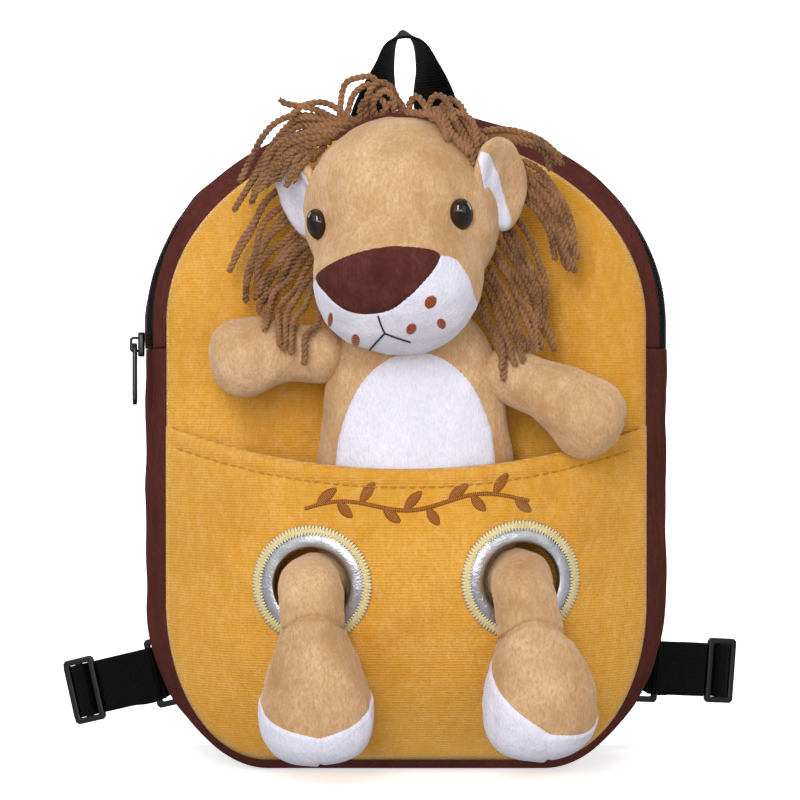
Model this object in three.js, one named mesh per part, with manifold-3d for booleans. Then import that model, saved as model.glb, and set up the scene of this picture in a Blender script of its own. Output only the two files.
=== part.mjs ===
// Toddler backpack: a plush bag with a plush lion seated in its front pocket.
// Millimetres. +Z is up, the front faces -Y and the origin is the middle of the flat base.

import * as THREE from 'three';
import { mergeVertices } from 'three/addons/utils/BufferGeometryUtils.js';
import Module from 'manifold-3d';

const wasm = await Module();
wasm.setup();

// Cloth and clearances
const GAP = 0.3;
const REST_GAP = 0.8;
const CLOTH = 3;
const PATCH = 1.4;

// Bag
const BAG_WIDTH = 237;
const BAG_HEIGHT = 293;
const BAG_DEPTH = 92;
const BASE_DEPTH = 68;
const ARCH_RISE = 96;
const CORNER_REACH = 58;
const CORNER_RISE = 74;
const SIDE_BULGE = 14;
const SEAM_LIFT = 6;
const PANEL_DOME = 11;
const BACK_PAD = 9;
const BACK_DOME = 3;

// Pocket and the two holes that the legs hang through, seen from the front
const POCKET_DEPTH = 45;
const POCKET_CENTRE = 117;
const HEM_HEIGHT = 134;
const HEM_SAG = 22;
const HOLE_RADIUS = 15.5;
const RING_WIDTH = 9.5;
const HOLE_LEFT_X = -39.8;
const HOLE_LEFT_Z = 85;
const HOLE_RIGHT_X = 48.3;
const HOLE_RIGHT_Z = 87;

// Zip over the arch
const ZIP_END_HEIGHT = 185;
const ZIP_SETBACK = 33;
const ZIP_OPENING = 16;
const ZIP_SUNK = 0.8;
const TAPE_THICKNESS = 1.2;
const COIL_WIDTH = 5.5;
const COIL_PROUD = 1;
const SLIDER_LENGTH = 11;
const SLIDER_WIDTH = 8;
const SLIDER_THICKNESS = 2.4;
const CROWN_LENGTH = 7;
const CROWN_HEIGHT = 4;
const CROWN_WIDTH = 2;
const CROWN_BAR = 1.2;
const CROWN_ROOT = 0.2;
const METAL_CORNER = 1;
const PULL_LENGTH = 27;
const PULL_WIDTH = 8;
const PULL_THICKNESS = 1.6;
const PULL_EYE = 6.4;

// Webbing, its grab handle and its hardware
const WEBBING_WIDTH = 25;
const WEBBING_THICKNESS = 1.4;
const HANDLE_RISE = 39;
const HANDLE_HALF_SPAN = 15;
const HANDLE_SETBACK = 36;
const RING_BAR = 2.8;
const RING_THICKNESS = 2.4;
const RING_HEIGHT = 33;
const RING_LENGTH = 14;
const RING_REACH = 12;
const GLIDE_HEIGHT = 31;
const GLIDE_LENGTH = 16;
const GLIDE_REACH = 55;
const STRAP_HEIGHT = 36;
const STRAP_YAW_LEFT = 20;
const STRAP_YAW_RIGHT = 29;
const STRAP_DROOP_LEFT = 14;
const STRAP_DROOP_RIGHT = 5;

// Shoulder pads
const PAD_WIDTH = 42;
const PAD_THICKNESS = 9;
const PAD_TOP = 264;
const PAD_TOP_SPREAD = 28;
const PAD_END = 84;
const PAD_END_SPREAD = 76;
const PAD_BOW = 13;

// Plush lion
const LION_X = 4;
const BODY_BASE = 65;
const BODY_HEIGHT = 143;
const BODY_WIDTH = 84;
const BODY_DEPTH = 40;
const BELLY_WIDTH = 68;
const BELLY_TOP = 183;
const HEAD_WIDTH = 82;
const HEAD_DEPTH = 76;
const HEAD_HEIGHT = 84;
const HEAD_X = -2;
const HEAD_RISE = 32;
const HEAD_STANDOFF = 9;
const HEAD_PITCH = 34;
const HEAD_ROLL = -4;
const HEAD_TURN = -10;
const MUZZLE_REACH = 20;
const MUZZLE_DROP = 25;
const EYE_WIDTH = 10.6;
const EYE_HEIGHT = 14;
const EYE_OUT = 53;
const EYE_UP = 17;
const EAR_HEIGHT = 44;
const EAR_WIDTH = 31;
const EAR_THICKNESS = 9;
const EAR_TURN = 45;
const MANE_LOCKS = 24;
const MANE_THICKNESS = 6;
const MANE_LENGTH = 64;
const LOCK_WIDTH = 11;
const MANE_HALF_TURN = 128;
const MANE_BACK = 0.2;
const ARM_WIDTH = 34;
const ARM_LENGTH = 62;
const SHOULDER_SPREAD = 30;
const SHOULDER_HEIGHT = 181;
const FOOT_WIDTH = 47;
const FOOT_DEPTH = 38;
const FOOT_DROP = 75;
const LEG_BEND = 13;

const BOTH = ['left', 'right'];

// Finishes
const finish = (color, roughness, metalness = 0) => (
  new THREE.MeshStandardMaterial({ color, roughness, metalness })
);
const YELLOW_PLUSH = finish('#e0a53a', 0.95);
const BROWN_PLUSH = finish('#4b2826', 0.95);
const TAN_PLUSH = finish('#d9b47e', 0.95);
const WHITE_PLUSH = finish('#e9e6f0', 0.95);
const NOSE_PLUSH = finish('#6b3a38', 0.95);
const YARN = finish('#9b7b62', 0.9);
const LEATHERETTE = finish('#c9c9cc', 0.35, 0.6);
const BLACK_WEBBING = finish('#17171a', 0.8);
const BLACK_PLASTIC = finish('#101012', 0.4);
const BLACK_METAL = finish('#161618', 0.35, 0.6);
const GLOSS_BLACK = finish('#060606', 0.08);

const { degToRad, smoothstep, lerp } = THREE.MathUtils;
const range = (count) => Array.from({ length: count }, (_, index) => index);
const vector = (x, y, z) => new THREE.Vector3(x, y, z);

// Closed bodies: a standard grid is bent to shape, and each grid place is worked out once.

function closed(geometry) {
  const bare = new THREE.BufferGeometry();
  bare.setAttribute('position', geometry.attributes.position);
  bare.setIndex(geometry.index);
  const merged = mergeVertices(bare);
  if (signedVolume(merged) < 0) {
    const corners = merged.index.array;
    for (let first = 0; first < corners.length; first += 3) {
      [corners[first + 1], corners[first + 2]] = [corners[first + 2], corners[first + 1]];
    }
  }
  merged.computeVertexNormals();
  return merged;
}

function signedVolume(geometry) {
  const [a, b, c] = [vector(), vector(), vector()];
  const { position } = geometry.attributes;
  const corners = geometry.index.array;
  let volume = 0;
  for (let first = 0; first < corners.length; first += 3) {
    a.fromBufferAttribute(position, corners[first]);
    b.fromBufferAttribute(position, corners[first + 1]);
    c.fromBufferAttribute(position, corners[first + 2]);
    volume += a.dot(b.cross(c)) / 6;
  }
  return volume;
}

function bent(geometry, place) {
  const { position } = geometry.attributes;
  for (const index of range(position.count)) {
    const point = place(index);
    position.setXYZ(index, point.x, point.y, point.z);
  }
  return closed(geometry);
}

// A ball's grid: side runs round it and row runs from one pole to the other.
function ball(sides, rows, at) {
  return bent(new THREE.SphereGeometry(1, sides, rows), (index) => {
    const row = Math.floor(index / (sides + 1));
    const atPole = row === 0 || row === rows;
    return at(atPole ? 0 : (index % (sides + 1)) % sides, row);
  });
}

// A slab's grid: along and across its face, and layer 0 or 1 through it.
function slab(along, across, at) {
  const grid = new THREE.BoxGeometry(1, 1, 1, along, across, 1);
  const { position } = grid.attributes;
  return bent(grid, (index) => at(
    Math.round((position.getX(index) + 0.5) * along),
    Math.round((position.getY(index) + 0.5) * across),
    Math.round(position.getZ(index) + 0.5),
  ));
}

// A hoop's grid: turn runs round the hoop and side runs round its section.
function hoop(turns, sides, at) {
  return bent(new THREE.TorusGeometry(1, 0.5, sides, turns), (index) => (
    at((index % (turns + 1)) % turns, Math.floor(index / (turns + 1)) % sides)
  ));
}

// A flat outline in the X-Z plane, drawn out along Y.
function prism(shape, front, back, segments = 12) {
  const settings = { depth: back - front, bevelEnabled: false, curveSegments: segments };
  const drawn = new THREE.ExtrudeGeometry(shape, settings).deleteAttribute('normal').deleteAttribute('uv');
  return closed(mergeVertices(drawn).rotateX(Math.PI / 2).translate(0, back, 0));
}

const box = (x, y, z) => closed(new THREE.BoxGeometry(x, y, z));

// Joining and cutting

function solid(geometry) {
  const vertProperties = new Float32Array(geometry.attributes.position.array);
  const triVerts = new Uint32Array(geometry.index.array);
  return new wasm.Manifold(new wasm.Mesh({ numProp: 3, vertProperties, triVerts }));
}

function surface(body) {
  const { vertProperties, triVerts } = body.getMesh();
  const geometry = new THREE.BufferGeometry();
  geometry.setAttribute('position', new THREE.BufferAttribute(vertProperties, 3));
  geometry.setIndex(new THREE.BufferAttribute(triVerts, 1));
  return closed(geometry);
}

// The largest piece that a cut leaves, without slivers.
function largest(body) {
  const pieces = body.simplify(0.02).decompose();
  return pieces.reduce((best, next) => (next.volume() > best.volume() ? next : best));
}

const cut = (geometry, ...tools) => (
  surface(largest(tools.reduce((body, tool) => body.subtract(solid(tool)), solid(geometry))))
);
const overlapOf = (geometry, ...tools) => (
  surface(largest(tools.reduce((body, tool) => body.intersect(solid(tool)), solid(geometry))))
);

function piece(name, geometry, material) {
  const mesh = new THREE.Mesh(geometry, material);
  mesh.name = name;
  return mesh;
}

function group(...members) {
  return new THREE.Group().add(...members);
}

// The bag's outline. Stations 0 to 4 run up its right half: flat base, corner, side and arch.
// Stations 4 to 8 come down the left half, and stations below 0 are the left half too.

const OUTLINE_STEPS = [1, 5, 4, 9];
const HALF_STATIONS = OUTLINE_STEPS.flatMap((steps, leg) => range(steps).map((step) => leg + step / steps));
const OTHER_HALF = HALF_STATIONS.slice(1).reverse().map((station) => 8 - station);
const RING_STATIONS = [...HALF_STATIONS, 4, ...OTHER_HALF];
const ARCH_START = BAG_HEIGHT - ARCH_RISE;

function outlinePoint(station, inset, lift) {
  const turned = (station + 8) % 8;
  const side = turned <= 4 ? 1 : -1;
  const place = turned <= 4 ? turned : 8 - turned;
  const leg = Math.min(Math.floor(place), 3);
  const share = place - leg;
  const turn = (share * Math.PI) / 2;
  const baseHalf = BAG_WIDTH / 2 - CORNER_REACH;
  const sideX = BAG_WIDTH / 2 - inset;
  const legs = [
    () => [baseHalf * share, lift],
    () => [lerp(baseHalf, sideX, Math.sin(turn)), CORNER_RISE - (CORNER_RISE - lift) * Math.cos(turn)],
    () => [sideX, lerp(CORNER_RISE, ARCH_START, share)],
    () => [sideX * Math.cos(turn), ARCH_START + (ARCH_RISE - inset) * Math.sin(turn)],
  ];
  const [x, z] = legs[leg]();
  return { x: side * x, z };
}

// How far a point lies from a centre height towards the seam: 0 at the centre and 1 on the seam.
const SEAM_RING = RING_STATIONS.map((station) => outlinePoint(station, SIDE_BULGE, SEAM_LIFT));

function shareOfReach(x, z, centre) {
  const distance = Math.hypot(x, z - centre);
  if (distance < 1e-6) return 0;
  const [dx, dz] = [x / distance, (z - centre) / distance];
  let reach = 0;
  SEAM_RING.forEach((from, index) => {
    const to = SEAM_RING[(index + 1) % SEAM_RING.length];
    const cross = dx * (to.z - from.z) - dz * (to.x - from.x);
    const away = (from.x * (to.z - from.z) - (from.z - centre) * (to.x - from.x)) / cross;
    const along = (from.x * dz - (from.z - centre) * dx) / cross;
    if (away > 0 && along >= -1e-9 && along <= 1 + 1e-9) reach = Math.max(reach, away);
  });
  return Math.min(distance / reach, 1);
}

// The gusset bulges outside its two seams, most of all a little behind its middle.
const seamInset = (depthShare) => SIDE_BULGE * (1 - Math.sin(Math.PI * depthShare ** 1.36) ** 0.7);

// It lies flat under the base.
function seamLift(depthShare) {
  const past = Math.abs(depthShare - 0.5) * BAG_DEPTH - BASE_DEPTH / 2;
  return SEAM_LIFT * (Math.max(past, 0) / (BAG_DEPTH / 2 - BASE_DEPTH / 2)) ** 2;
}

function stationsBetween(first, last) {
  const all = [-1, 0].flatMap((turn) => RING_STATIONS.map((station) => station + 8 * turn));
  return [first, ...all.filter((station) => station > first + 0.02 && station < last - 0.02), last];
}

// A strip of the gusset's skin, sunk below its surface, from one station to another.
function gussetStrip(first, last, depthShares, sunk, thickness) {
  const stations = stationsBetween(first, last);
  return slab(stations.length - 1, depthShares.length - 1, (along, across, layer) => {
    const depth = depthShares[across];
    const below = sunk + layer * thickness;
    const { x, z } = outlinePoint(stations[along], seamInset(depth) + below, seamLift(depth) + below);
    return vector(x, (depth - 0.5) * BAG_DEPTH, z);
  });
}

// Panels: a fan of rings from a centre height out to the seam, with an outer and an inner face.
function panel(ringShares, centre, outerFace, innerFace) {
  const last = ringShares.length - 1;
  return ball(RING_STATIONS.length, 2 * last + 1, (side, row) => {
    const ring = row <= last ? row : 2 * last + 1 - row;
    const seam = SEAM_RING[side];
    const x = seam.x * ringShares[ring];
    const z = centre + (seam.z - centre) * ringShares[ring];
    return vector(x, row <= last ? outerFace(x, z) : innerFace(x, z), z);
  });
}

const PANEL_RINGS = [0, 0.3, 0.55, 0.75, 0.9, 1];
const POCKET_RINGS = [0, 0.25, 0.45, 0.62, 0.76, 0.88, 1];
const BACK_RINGS = [0, 0.5, 0.85, 1];
const PANEL_CENTRE = BAG_HEIGHT / 2;
const FRONT_FACE = -(BAG_DEPTH / 2 + GAP + CLOTH);
const BACK_FACE = BAG_DEPTH / 2 + GAP + BACK_PAD;

// The front panel is pressed flat where the lion sits against it.
const PRESS = { height: 0.55 * BAG_HEIGHT, halfWidth: 0.27 * BAG_WIDTH, halfHeight: 0.36 * BAG_HEIGHT };

function frontSkin(x, z) {
  const share = shareOfReach(x, z, PANEL_CENTRE);
  const off = Math.hypot((x - LION_X) / PRESS.halfWidth, (z - PRESS.height) / PRESS.halfHeight);
  return FRONT_FACE - PANEL_DOME * (1 - share ** 4) * smoothstep(off, 0.9, 1.3);
}

function pocketSkin(x, z) {
  const share = shareOfReach(x, z, POCKET_CENTRE);
  return FRONT_FACE - GAP - CLOTH - POCKET_DEPTH * (1 - share ** 2.4);
}

function backSkin(x, z) {
  const share = shareOfReach(x, z, PANEL_CENTRE);
  return BACK_FACE + BACK_DOME * (1 - share ** 4);
}

// Bag pieces

const zipCentre = ZIP_SETBACK / BAG_DEPTH;
const zipHalf = ZIP_OPENING / BAG_DEPTH / 2;
const ZIP_STATION = 2 + (ZIP_END_HEIGHT - CORNER_RISE) / (ARCH_START - CORNER_RISE);
const STATION_GAP = GAP / (ARCH_START - CORNER_RISE);

function baseRows() {
  const flat = BASE_DEPTH / BAG_DEPTH / 2;
  const rim = 0.5 - flat;
  return [0, rim * 0.4, rim, zipCentre - zipHalf, zipCentre + zipHalf, 0.6, 1 - rim, 1 - rim * 0.4, 1];
}

function makeGussetBase() {
  const strip = gussetStrip(-ZIP_STATION, ZIP_STATION, baseRows(), 0, CLOTH);
  return piece('gusset_base', strip, BROWN_PLUSH);
}

const ARCH_FIRST = ZIP_STATION + STATION_GAP;
const ARCH_LAST = 8 - ARCH_FIRST;
const archFrontRows = baseRows().slice(0, 4);
const archBackRows = baseRows().slice(4);

function makeGussetArch(name, rows) {
  return piece(name, gussetStrip(ARCH_FIRST, ARCH_LAST, rows, 0, CLOTH), BROWN_PLUSH);
}

function makeFrontPanel() {
  const face = panel(PANEL_RINGS, PANEL_CENTRE, frontSkin, (x, z) => frontSkin(x, z) + CLOTH);
  return piece('front_panel', face, YELLOW_PLUSH);
}

function makeBackPanel() {
  const face = panel(BACK_RINGS, PANEL_CENTRE, backSkin, () => BAG_DEPTH / 2 + GAP);
  return piece('back_panel', face, BROWN_PLUSH);
}

// The pocket's hem is lowest in the middle and rises to the side seams.
function aboveHem() {
  const half = BAG_WIDTH / 2;
  const shape = new THREE.Shape();
  shape.moveTo(-half, HEM_HEIGHT + HEM_SAG);
  shape.quadraticCurveTo(0, HEM_HEIGHT - HEM_SAG, half, HEM_HEIGHT + HEM_SAG);
  shape.lineTo(half, BAG_HEIGHT + HEM_SAG);
  shape.lineTo(-half, BAG_HEIGHT + HEM_SAG);
  shape.closePath();
  return prism(shape, -BAG_DEPTH - 2 * POCKET_DEPTH, 0, 10);
}

const HOLES = {
  left: { x: HOLE_LEFT_X, z: HOLE_LEFT_Z },
  right: { x: HOLE_RIGHT_X, z: HOLE_RIGHT_Z },
};

function holeCutter({ x, z }) {
  const bore = new THREE.CylinderGeometry(HOLE_RADIUS, HOLE_RADIUS, BAG_DEPTH + 2 * POCKET_DEPTH, 20);
  return closed(mergeVertices(bore.deleteAttribute('normal').deleteAttribute('uv')))
    .translate(x, -BAG_DEPTH / 2 - POCKET_DEPTH, z);
}

function makePocket() {
  const face = panel(POCKET_RINGS, POCKET_CENTRE, pocketSkin, (x, z) => pocketSkin(x, z) + CLOTH);
  return piece('pocket', cut(face, aboveHem(), ...Object.values(HOLES).map(holeCutter)), YELLOW_PLUSH);
}

// Leatherette ring round a hole: shares of its width and of its thickness, from the inside edge.
const RING_SECTION = [
  { out: 0, up: 0 },
  { out: 1, up: 0 },
  { out: 1, up: 0.6 },
  { out: 0.5, up: 1 },
  { out: 0, up: 0.6 },
];

function makeHoleRing(side) {
  const { x, z } = HOLES[side];
  const turns = 20;
  const ring = hoop(turns, RING_SECTION.length, (turn, corner) => {
    const angle = (turn / turns) * 2 * Math.PI;
    const { out, up } = RING_SECTION[corner];
    const radius = HOLE_RADIUS + out * RING_WIDTH;
    const [px, pz] = [x + radius * Math.cos(angle), z + radius * Math.sin(angle)];
    return vector(px, pocketSkin(px, pz) - REST_GAP - up * PATCH, pz);
  });
  return piece(`hole_ring_${side}`, ring, LEATHERETTE);
}

// Zip

const zipMargin = GAP / BAG_DEPTH;
const coilHalf = COIL_WIDTH / BAG_DEPTH / 2;
const coilRows = [zipCentre - coilHalf, zipCentre + coilHalf];
const tapeRows = [zipCentre - zipHalf + zipMargin, ...coilRows, zipCentre + zipHalf - zipMargin];

function makeZipTape() {
  const tape = gussetStrip(ARCH_FIRST, ARCH_LAST, tapeRows, ZIP_SUNK, TAPE_THICKNESS);
  return piece('zip_tape', tape, BLACK_WEBBING);
}

function makeZipCoil() {
  const thickness = ZIP_SUNK - GAP + COIL_PROUD;
  const coil = gussetStrip(ARCH_FIRST, ARCH_LAST, coilRows, -COIL_PROUD, thickness);
  return piece('zip_coil', coil, BLACK_PLASTIC);
}

// The slider lies on the coil just above the zip's left end, and its crown holds the pull.
const SLIDER_FACE = BAG_WIDTH / 2 - seamInset(coilRows[1]) + COIL_PROUD + GAP;
const PIVOT_OUT = SLIDER_THICKNESS + CROWN_HEIGHT - CROWN_BAR - GAP - PULL_THICKNESS / 2;

function roundedBar(width, height, radius, from, to) {
  const [w, h] = [width / 2, height / 2];
  const shape = new THREE.Shape();
  shape.moveTo(-w + radius, -h);
  shape.lineTo(w - radius, -h);
  shape.absarc(w - radius, -h + radius, radius, -Math.PI / 2, 0);
  shape.absarc(w - radius, h - radius, radius, 0, Math.PI / 2);
  shape.absarc(-w + radius, h - radius, radius, Math.PI / 2, Math.PI);
  shape.absarc(-w + radius, -h + radius, radius, Math.PI, 1.5 * Math.PI);
  return prism(shape, from, to, 2);
}

function makeZipSlider() {
  const plate = roundedBar(SLIDER_WIDTH, SLIDER_LENGTH, 1.5 * METAL_CORNER, 0, SLIDER_THICKNESS)
    .rotateZ(Math.PI / 2);
  const arch = new THREE.Shape();
  const [foot, top] = [CROWN_LENGTH / 2, CROWN_HEIGHT];
  arch.moveTo(CROWN_ROOT, -foot);
  arch.lineTo(-top + METAL_CORNER, -foot);
  arch.lineTo(-top, -foot + METAL_CORNER);
  arch.lineTo(-top, foot - METAL_CORNER);
  arch.lineTo(-top + METAL_CORNER, foot);
  arch.lineTo(CROWN_ROOT, foot);
  arch.lineTo(CROWN_ROOT, foot - CROWN_BAR);
  arch.lineTo(-top + CROWN_BAR, foot - CROWN_BAR);
  arch.lineTo(-top + CROWN_BAR, -foot + CROWN_BAR);
  arch.lineTo(CROWN_ROOT, -foot + CROWN_BAR);
  arch.closePath();
  const crown = prism(arch, -CROWN_WIDTH / 2, CROWN_WIDTH / 2).translate(-SLIDER_THICKNESS, 0, 0);
  return piece('zip_slider', surface(solid(plate).add(solid(crown))), BLACK_METAL);
}

// The pull hangs from the crown by an eye; its own origin is the pivot.
function makeZipPull() {
  const [half, eyeHalf] = [PULL_WIDTH / 2, CROWN_WIDTH / 2 + METAL_CORNER / 2];
  const shoulder = -0.7 * PULL_EYE;
  const corner = 2 * METAL_CORNER;
  const topBar = CROWN_BAR / 2;
  const tab = new THREE.Shape();
  tab.moveTo(-eyeHalf - METAL_CORNER, topBar);
  tab.lineTo(-half, shoulder);
  tab.lineTo(-half, -PULL_LENGTH + corner);
  tab.lineTo(-half + corner, -PULL_LENGTH);
  tab.lineTo(half - corner, -PULL_LENGTH);
  tab.lineTo(half, -PULL_LENGTH + corner);
  tab.lineTo(half, shoulder);
  tab.lineTo(eyeHalf + METAL_CORNER, topBar);
  tab.closePath();
  const eye = box(2 * eyeHalf, 2 * PULL_THICKNESS, PULL_EYE - topBar)
    .translate(0, 0, -(PULL_EYE + topBar) / 2);
  const pull = cut(prism(tab, -PULL_THICKNESS / 2, PULL_THICKNESS / 2), eye).rotateZ(Math.PI / 2);
  return piece('zip_pull', pull, BLACK_METAL);
}

function makeZip() {
  const slider = makeZipSlider();
  const pull = makeZipPull();
  pull.position.set(-PIVOT_OUT, 0, 0);
  const runner = group(slider, pull);
  const height = ZIP_END_HEIGHT + SLIDER_LENGTH / 2 - CROWN_LENGTH / 2;
  runner.position.set(-SLIDER_FACE, ZIP_SETBACK - BAG_DEPTH / 2, height);
  return group(makeZipTape(), makeZipCoil(), runner);
}

// Webbing: a flat ribbon through stations that give its middle and its width direction.
function ribbon(stations, width, thickness) {
  const last = stations.length - 1;
  const frames = stations.map(({ at, across }, index) => {
    const ahead = stations[Math.min(index + 1, last)].at;
    const behind = stations[Math.max(index - 1, 0)].at;
    const normal = ahead.clone().sub(behind).cross(across).normalize();
    return { at, across: across.clone().normalize(), normal };
  });
  return slab(last, 1, (along, edge, layer) => {
    const { at, across, normal } = frames[along];
    return at.clone()
      .addScaledVector(across, (edge - 0.5) * width)
      .addScaledVector(normal, (layer - 0.5) * thickness);
  });
}

// Grab handle: shares of its half span and rise, and how far its width has turned front to back.
const HANDLE_TABLE = [
  { out: 1.05, up: -0.3, turn: 0.3 },
  { out: 1.02, up: 0.1, turn: 0.34 },
  { out: 0.84, up: 0.4, turn: 0.45 },
  { out: 0.6, up: 0.7, turn: 0.65 },
  { out: 0.3, up: 0.93, turn: 0.88 },
  { out: 0, up: 1, turn: 1 },
];

function makeHandle() {
  const half = HANDLE_TABLE.map(({ out, up, turn }) => ({ out, up, angle: (turn * Math.PI) / 2 }));
  const otherHalf = half.slice(0, -1).reverse()
    .map((row) => ({ ...row, out: -row.out, angle: Math.PI - row.angle }));
  const loop = [...half, ...otherHalf];
  const rootHeight = BAG_HEIGHT - SIDE_BULGE / 2;
  const stations = loop.map(({ out, up, angle }) => ({
    at: vector(-out * HANDLE_HALF_SPAN, HANDLE_SETBACK, rootHeight + up * (HANDLE_RISE + SIDE_BULGE / 2)),
    across: vector(Math.cos(angle), Math.sin(angle), 0),
  }));
  const seat = gussetStrip(ARCH_FIRST, ARCH_LAST, archBackRows, -GAP, CLOTH + 2 * GAP);
  const loopBody = ribbon(stations, WEBBING_WIDTH, WEBBING_THICKNESS);
  return piece('handle', cut(loopBody, seat), BLACK_WEBBING);
}

// Shoulder straps. Each side has a frame at the back seam: a points outward, b back.
const SIDES = {
  left: { sign: -1, yaw: STRAP_YAW_LEFT, droop: STRAP_DROOP_LEFT },
  right: { sign: 1, yaw: STRAP_YAW_RIGHT, droop: STRAP_DROOP_RIGHT },
};

function strapFrame({ sign, yaw, droop }) {
  const [turn, dip] = [degToRad(yaw), degToRad(droop)];
  const level = Math.cos(dip);
  const outward = vector(sign * Math.cos(turn) * level, Math.sin(turn) * level, -Math.sin(dip));
  const height = vector(0, 0, sign).addScaledVector(outward, -sign * outward.z).normalize();
  const back = height.clone().cross(outward);
  const seamX = seamXAt(STRAP_HEIGHT + WEBBING_WIDTH / 2) + 2 * REST_GAP;
  return new THREE.Matrix4().makeBasis(outward, back, height)
    .setPosition(sign * seamX, BACK_FACE - BACK_PAD / 2, STRAP_HEIGHT);
}

// Half width of the seam outline at a height above the base.
function seamXAt(height) {
  const rise = 1 - height / CORNER_RISE;
  const baseHalf = BAG_WIDTH / 2 - CORNER_REACH;
  return lerp(baseHalf, BAG_WIDTH / 2 - SIDE_BULGE, Math.sqrt(1 - Math.max(rise, 0) ** 2));
}

const BAR_WRAP = Math.hypot(RING_BAR, RING_THICKNESS) / 2 + GAP + WEBBING_THICKNESS / 2;
const RING_INNER = RING_REACH - (RING_LENGTH - RING_BAR) / 2;
const RING_OUTER = RING_REACH + (RING_LENGTH - RING_BAR) / 2;

// A frame of bars with slots between them, flat in the a-c plane.
function barFrame(length, height, slots) {
  const [bar, thickness] = [RING_BAR, RING_THICKNESS];
  const [halfLength, halfHeight, corner] = [length / 2, height / 2, bar / 2];
  const shape = new THREE.Shape();
  shape.moveTo(-halfLength + corner, -halfHeight);
  shape.lineTo(halfLength - corner, -halfHeight);
  shape.lineTo(halfLength, -halfHeight + corner);
  shape.lineTo(halfLength, halfHeight - corner);
  shape.lineTo(halfLength - corner, halfHeight);
  shape.lineTo(-halfLength + corner, halfHeight);
  shape.lineTo(-halfLength, halfHeight - corner);
  shape.lineTo(-halfLength, -halfHeight + corner);
  shape.closePath();
  const slotLength = (length - bar * (slots + 1)) / slots;
  const cutters = range(slots).map((slot) => (
    box(slotLength, 2 * thickness, height - 2 * bar)
      .translate(-halfLength + bar + slotLength / 2 + slot * (slotLength + bar), 0, 0)
  ));
  return cut(prism(shape, -thickness / 2, thickness / 2), ...cutters);
}

const ribbonAcross = vector(0, 0, 1);
const flatStation = ([a, b]) => ({ at: vector(a, b, 0), across: ribbonAcross });

// The wrap round a bar, from its back to its front by way of its inner or outer side.
function wrapRound(barAt, way) {
  return range(7).map((step) => {
    const angle = Math.PI / 2 + way * (step / 6) * Math.PI;
    return [barAt + BAR_WRAP * Math.cos(angle), BAR_WRAP * Math.sin(angle)];
  });
}

// The loop that holds the ring runs in from it to the back panel's edge, where it is sewn.
function makeAnchor(frame) {
  const tail = [[0.7, 0.8], [-0.36, 0.3], [-2, 0.3]].map(([a, b]) => [a * RING_BAR, b * BAR_WRAP]);
  const route = [...tail.toReversed(), ...wrapRound(RING_INNER, -1), ...tail.map(([a, b]) => [a, -b])];
  const rings = [...BACK_RINGS.slice(0, -1), 1 + GAP / PANEL_CENTRE];
  const seat = panel(rings, PANEL_CENTRE, (x, z) => backSkin(x, z) + GAP, () => BAG_DEPTH / 2 - CLOTH)
    .applyMatrix4(frame.clone().invert());
  return cut(ribbon(route.map(flatStation), WEBBING_WIDTH, WEBBING_THICKNESS), seat);
}

// Shoulder pad route: shares of its drop, its spread and its bow off the back.
const PAD_TABLE = [
  { down: 0, out: 0, bow: -0.03 },
  { down: 0.12, out: 0.12, bow: 0 },
  { down: 0.35, out: 0.4, bow: 0.75 },
  { down: 0.62, out: 0.74, bow: 1 },
  { down: 0.85, out: 0.93, bow: 0.6 },
  { down: 1, out: 1, bow: 0.2 },
];
// Padded section along the strap: shares of its length, width and thickness.
const PAD_SECTIONS = [
  { along: 0, wide: 0, deep: 0 },
  { along: 0, wide: 0.86, deep: 0.5 },
  { along: 0.03, wide: 0.96, deep: 0.9 },
  { along: 0.15, wide: 1, deep: 1 },
  { along: 0.4, wide: 1, deep: 1 },
  { along: 0.65, wide: 1, deep: 1 },
  { along: 0.82, wide: 0.92, deep: 1 },
  { along: 0.94, wide: 0.74, deep: 0.9 },
  { along: 1, wide: 0.62, deep: 0.45 },
  { along: 1, wide: 0, deep: 0 },
];

// The pad is sewn against the back at its top and stands off below.
function padRoute(sign) {
  return new THREE.CatmullRomCurve3(PAD_TABLE.map(({ down, out, bow }) => {
    const x = sign * lerp(PAD_TOP_SPREAD, PAD_END_SPREAD, out);
    const z = lerp(PAD_TOP, PAD_END, down);
    return vector(x, backSkin(x, z) + REST_GAP + PAD_THICKNESS / 2 + PAD_BOW * bow, z);
  }));
}

// A stuffed form: rounded sections strung on a curve, with its ends drawn in.
function stuffed(sections, curve, sides, acrossHint, { boxy = 1, limit = () => Infinity, grow = 0 } = {}) {
  const last = sections.length - 1;
  return ball(sides, last, (side, row) => {
    const { along, wide, deep } = sections[row];
    const tangent = curve.getTangentAt(along);
    const at = curve.getPointAt(along);
    if (row === 0) at.addScaledVector(tangent, -grow);
    if (row === last) at.addScaledVector(tangent, grow);
    const inward = tangent.clone().cross(acrossHint).normalize();
    const across = inward.clone().cross(tangent).normalize();
    const angle = (side / sides) * 2 * Math.PI;
    const atEnd = row === 0 || row === last;
    const spread = atEnd ? 0 : wide + grow;
    const depth = atEnd ? 0 : deep + grow;
    at.addScaledVector(across, spread * Math.sign(Math.cos(angle)) * Math.abs(Math.cos(angle)) ** boxy);
    at.addScaledVector(inward, depth * Math.sign(Math.sin(angle)) * Math.abs(Math.sin(angle)) ** boxy);
    at.y = Math.min(at.y, limit(at.x, at.z) + grow);
    return at;
  });
}

const sized = (table, halfWidth, halfDepth) => (
  table.map(({ along, wide, deep }) => ({ along, wide: wide * halfWidth, deep: deep * halfDepth }))
);

function makeShoulderPad(side) {
  const sections = sized(PAD_SECTIONS, PAD_WIDTH / 2, PAD_THICKNESS / 2);
  const pad = stuffed(sections, padRoute(SIDES[side].sign), 10, vector(1, 0, 0), { boxy: 0.6 });
  return piece(`shoulder_pad_${side}`, pad, BROWN_PLUSH);
}

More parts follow.
